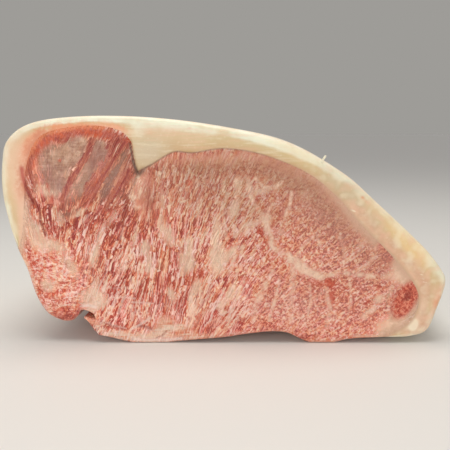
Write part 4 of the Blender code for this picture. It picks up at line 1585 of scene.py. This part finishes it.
def makeFatMaterial():
    # The cut side and the outside each have their tones laid one over the other, and the field
    # of the cut joins the two round the edge.
    look = readLook(fatLook)
    material, tree, shader = newMaterial("rawFat")
    seamGap, cut, across, grey = layer(tree, "face")
    pink, yellow, orange, whiteFatAndHighlights = layer(tree, "tints")
    peach, dark, topside, clear = layer(tree, "edges")
    metres, place, x, z = places(tree)
    cloud = noise(tree, place, 0.09, 3.0, 0.55)
    specks = noise(tree, place, 0.55, 3.0, 0.6)
    mottle = noise(tree, place, 0.22, 3.0, 0.6)
    blots = noise(tree, place, 0.17, 1.0)
    sheets = noise(tree, scaled(tree, place, (0.05, 0.05, 0.45)), 1.0, 3.0, 0.6)
    farRight = eased(tree, x, *seamLooks["farRight"])

    # cut side: pale by the outside, warmer towards the seam, with slow clouds
    rim = plus(tree, across, swing(tree, cloud, 0.6))
    inner = blend(tree, eased(tree, x, -0.060, -0.053), look["innerPink"], look["inner"])
    face = blend(tree, eased(tree, rim, -0.1, 0.28), look["outer"], look["mid"])
    clearTone = blend(tree, eased(tree, mottle, 0.38, 0.64), look["clearFat"], look["clearPale"])
    face = laidOver(tree, face, [
        (eased(tree, rim, 0.3, 1.0), inner),
        (times(tree, pink, 0.6), look["pinkFat"]),
        (times(tree, yellow, 0.6), look["yellowFat"]),
        (times(tree, grey, 0.8), look["greyFat"]),
        (eased(tree, orange, 0.0, 1.0, 0.0, 0.8), look["orangeSpot"]),
        (times(tree, eased(tree, sheets, 0.48, 0.68, 0.0, 0.38), topside), look["whiteFat"]),
        (times(tree, eased(tree, sheets, 0.50, 0.34, 0.0, 0.30), topside), look["innerPink"]),
        (eased(tree, clear, 0.2, 0.9, 0.0, 0.85), clearTone),
        (times(tree, eased(tree, blots, 0.44, 0.72, 0.0, 0.42), farRight), look["whiteFat"]),
        (times(tree, eased(tree, blots, 0.54, 0.28, 0.0, 0.36), farRight), look["pinkFat"]),
        (eased(tree, specks, 0.55, 0.75, 0.0, 0.20), look["whiteFat"]),
        # whiter fat, and its painted highlight dashes
        (eased(tree, whiteFatAndHighlights, 0.25, 0.8, 0.0, 0.8), look["whiteFat"]),
    ])
    # the seam: a blush on the left, a thin line by the wedge, red streaks and painted shade in the
    # creases, and a blur
    gap = times(tree, seamGap, seamReach)
    near = plus(tree, plus(tree, gap, swing(tree, mottle, 10.0)), swing(tree, specks, 5.0))
    blush = times(tree, peach, eased(tree, near, 0.0, 5.0, 0.85, 0.0))
    topLeft = eased(tree, z, *seamLooks["topLeft"])
    blushTone = blend(tree, topLeft, look["innerPink"], look["seamSoft"])
    reddened = times(tree, eased(tree, x, -0.094, -0.102), eased(tree, z, 0.080, 0.094))
    reddened = times(tree, reddened, eased(tree, near, 0.0, 5.5, 0.95, 0.0))
    # red of the streaks on the left, painted crease shade by the wedge
    streakAndShadeTone = blend(tree, eased(tree, x, -0.090, -0.070), look["streakRed"], look["creaseShade"])
    close = eased(tree, gap, 0.1, 0.7, 0.8, 0.0)
    thinLine = useGroup(tree, seamGroup, {"Along": x, "Near": close})["Share"]
    blur = times(tree, eased(tree, gap, 0.0, 2.2, 0.9, 0.0), farRight)
    blur = times(tree, blur, eased(tree, orange, 0.2, 0.7, 1.0, 0.35))
    face = laidOver(tree, face, [
        (blush, blushTone),
        (reddened, look["seamRed"]),
        (thinLine, look["seamLine"]),
        (times(tree, dark, eased(tree, mottle, 0.34, 0.56, 0.35, 0.85)), streakAndShadeTone),
        (blur, look["softRight"]),
    ])

    # outside: creamy skin over lobules, with thin veils along the depth
    veils = noise(tree, scaled(tree, place, (0.22, 0.035, 0.22)), 1.0, 4.0, 0.6)
    flush = noise(tree, place, 0.022, 3.0, 0.6)
    lobules = tree.nodes.new("ShaderNodeTexVoronoi")
    lobules.feature = "DISTANCE_TO_EDGE"
    uneven = noise(tree, place, 0.3, output="Color")
    uneven = pushed(tree, scaled(tree, place, (0.2, 0.12, 0.2)), uneven, 0.5)
    grooves = putAll(tree, lobules, {"Vector": uneven, "Scale": 1.0})["Distance"]
    skin = blend(tree, eased(tree, veils, 0.40, 0.62), look["skinWarm"], look["skin"])
    skin = laidOver(tree, skin, [
        (eased(tree, flush, 0.50, 0.72, 0.0, 0.5), look["skinPink"]),
        (eased(tree, cloud, 0.46, 0.30, 0.0, 0.35), look["skinWarm"]),
        (eased(tree, grooves, 0.0, 0.10, 0.22, 0.0), look["skinPink"]),
        (eased(tree, specks, 0.56, 0.75, 0.0, 0.5), look["whiteFat"]),
    ])
    whole = blend(tree, eased(tree, cut, 0.35, 0.97), skin, face)
    wetness = {"Wet": look["wet"], "Dry": look["dry"]}
    moist = useGroup(tree, moistGroup, {"Place": metres, **wetness})
    finishShader(tree, shader, look, whole, moist["Height"], moist["Roughness"])
    return material


leanGrid = makeSleeve(leanOutside, leanForm, -1, leanSide)
leanMesh = sleeveMesh("leanBlock", leanGrid, leanLayers(leanGrid))
flapGrid = makeFlap()
flapMesh = sleeveMesh("flap", flapGrid, leanLayers(flapGrid))
finishMesh(leanMesh, flapMesh)
addPiece("leanBlock", leanMesh, "lean", makeLeanMaterial())

capGrid = makeSleeve(capOutside, capForm, 1, capSide)
capMesh = sleeveMesh("fatCap", capGrid, fatLayers(capGrid))
strandGrid = makeStrand()
strandMesh = sleeveMesh("strand", strandGrid, fatLayers(strandGrid))
finishMesh(capMesh, strandMesh)
addPiece("fatCap", capMesh, "fat_cap", makeFatMaterial())

# Floor, light and camera
stageForm = {
    "floorSize": 60.0,
    "floorTone": (228, 226, 222),
    "floorRoughness": 0.7,
    "worldTone": (238, 236, 234),
    "worldStrength": 0.50,
    "backdropTone": (158, 156, 152),  # what the camera sees behind the floor
    # round lamps: name, place, size, power, tone
    "lamps": [
        ("overhead", (-0.05, -0.10, 0.95), 0.7, 5.2, (255, 252, 246)),
        ("front", (-0.25, -1.1, 0.24), 0.8, 5.5, (255, 251, 246)),
    ],
    "lampTarget": (0, 0, 0.05),
    "cameraPlace": (0.0136, -0.385, 0.1213),
    "cameraPitch": 9.43,  # degrees below level
    "cameraLens": 44.8,
    "cameraShift": -26 / 450,  # the picture is moved by so much of its width
    "nearestSeen": 0.01,
}


def makeFloor():
    # one large square at the height of the block's underside
    half = stageForm["floorSize"] / 2
    mesh = bpy.data.meshes.new("floor")
    corners = [(-half, -half, 0), (half, -half, 0), (half, half, 0), (-half, half, 0)]
    mesh.from_pydata(corners, [], [(0, 1, 2, 3)])
    floor = bpy.data.objects.new("floor", mesh)
    bpy.context.scene.collection.objects.link(floor)
    material, _, shader = newMaterial("paleFloor")
    shader.inputs["Base Color"].default_value = colour(*stageForm["floorTone"])
    shader.inputs["Roughness"].default_value = stageForm["floorRoughness"]
    mesh.materials.append(material)


def makeLamp(name, place, size, power, tone):
    # a round lamp that is turned to the target
    light = bpy.data.lights.new(name, "AREA")
    light.shape = "DISK"
    light.size = size
    light.energy = power
    light.color = colour(*tone)[:3]
    lamp = bpy.data.objects.new(name, light)
    bpy.context.scene.collection.objects.link(lamp)
    aim = Vector(stageForm["lampTarget"]) - Vector(place)
    lamp.location = place
    lamp.rotation_euler = aim.to_track_quat("-Z", "Y").to_euler()


def makeWorld():
    # soft light from all round, and a darker backdrop that only the camera's own rays meet
    world = bpy.data.worlds.new("softRoom")
    world.use_nodes = True
    tree = world.node_tree
    soft = tree.nodes["Background"]
    soft.inputs[0].default_value = colour(*stageForm["worldTone"])
    soft.inputs[1].default_value = stageForm["worldStrength"]
    backdrop = tree.nodes.new("ShaderNodeBackground")
    backdrop.inputs[0].default_value = colour(*stageForm["backdropTone"])
    seen = tree.nodes.new("ShaderNodeLightPath")
    both = tree.nodes.new("ShaderNodeMixShader")
    tree.links.new(seen.outputs["Is Camera Ray"], both.inputs[0])
    tree.links.new(soft.outputs[0], both.inputs[1])
    tree.links.new(backdrop.outputs[0], both.inputs[2])
    tree.links.new(both.outputs[0], tree.nodes["World Output"].inputs[0])
    bpy.context.scene.world = world


def makeCamera():
    # in front of the cut face, looking a little down
    lens = bpy.data.cameras.new("camera")
    lens.sensor_width = 36.0
    lens.lens = stageForm["cameraLens"]
    lens.shift_x = stageForm["cameraShift"]
    lens.clip_start = stageForm["nearestSeen"]
    camera = bpy.data.objects.new("camera", lens)
    bpy.context.scene.collection.objects.link(camera)
    camera.location = stageForm["cameraPlace"]
    camera.rotation_euler = (math.radians(90 - stageForm["cameraPitch"]), 0, 0)
    bpy.context.scene.camera = camera
    bpy.context.scene.view_settings.view_transform = "Standard"


makeFloor()
for lamp in stageForm["lamps"]:
    makeLamp(*lamp)
makeWorld()
makeCamera()
print("stage made")
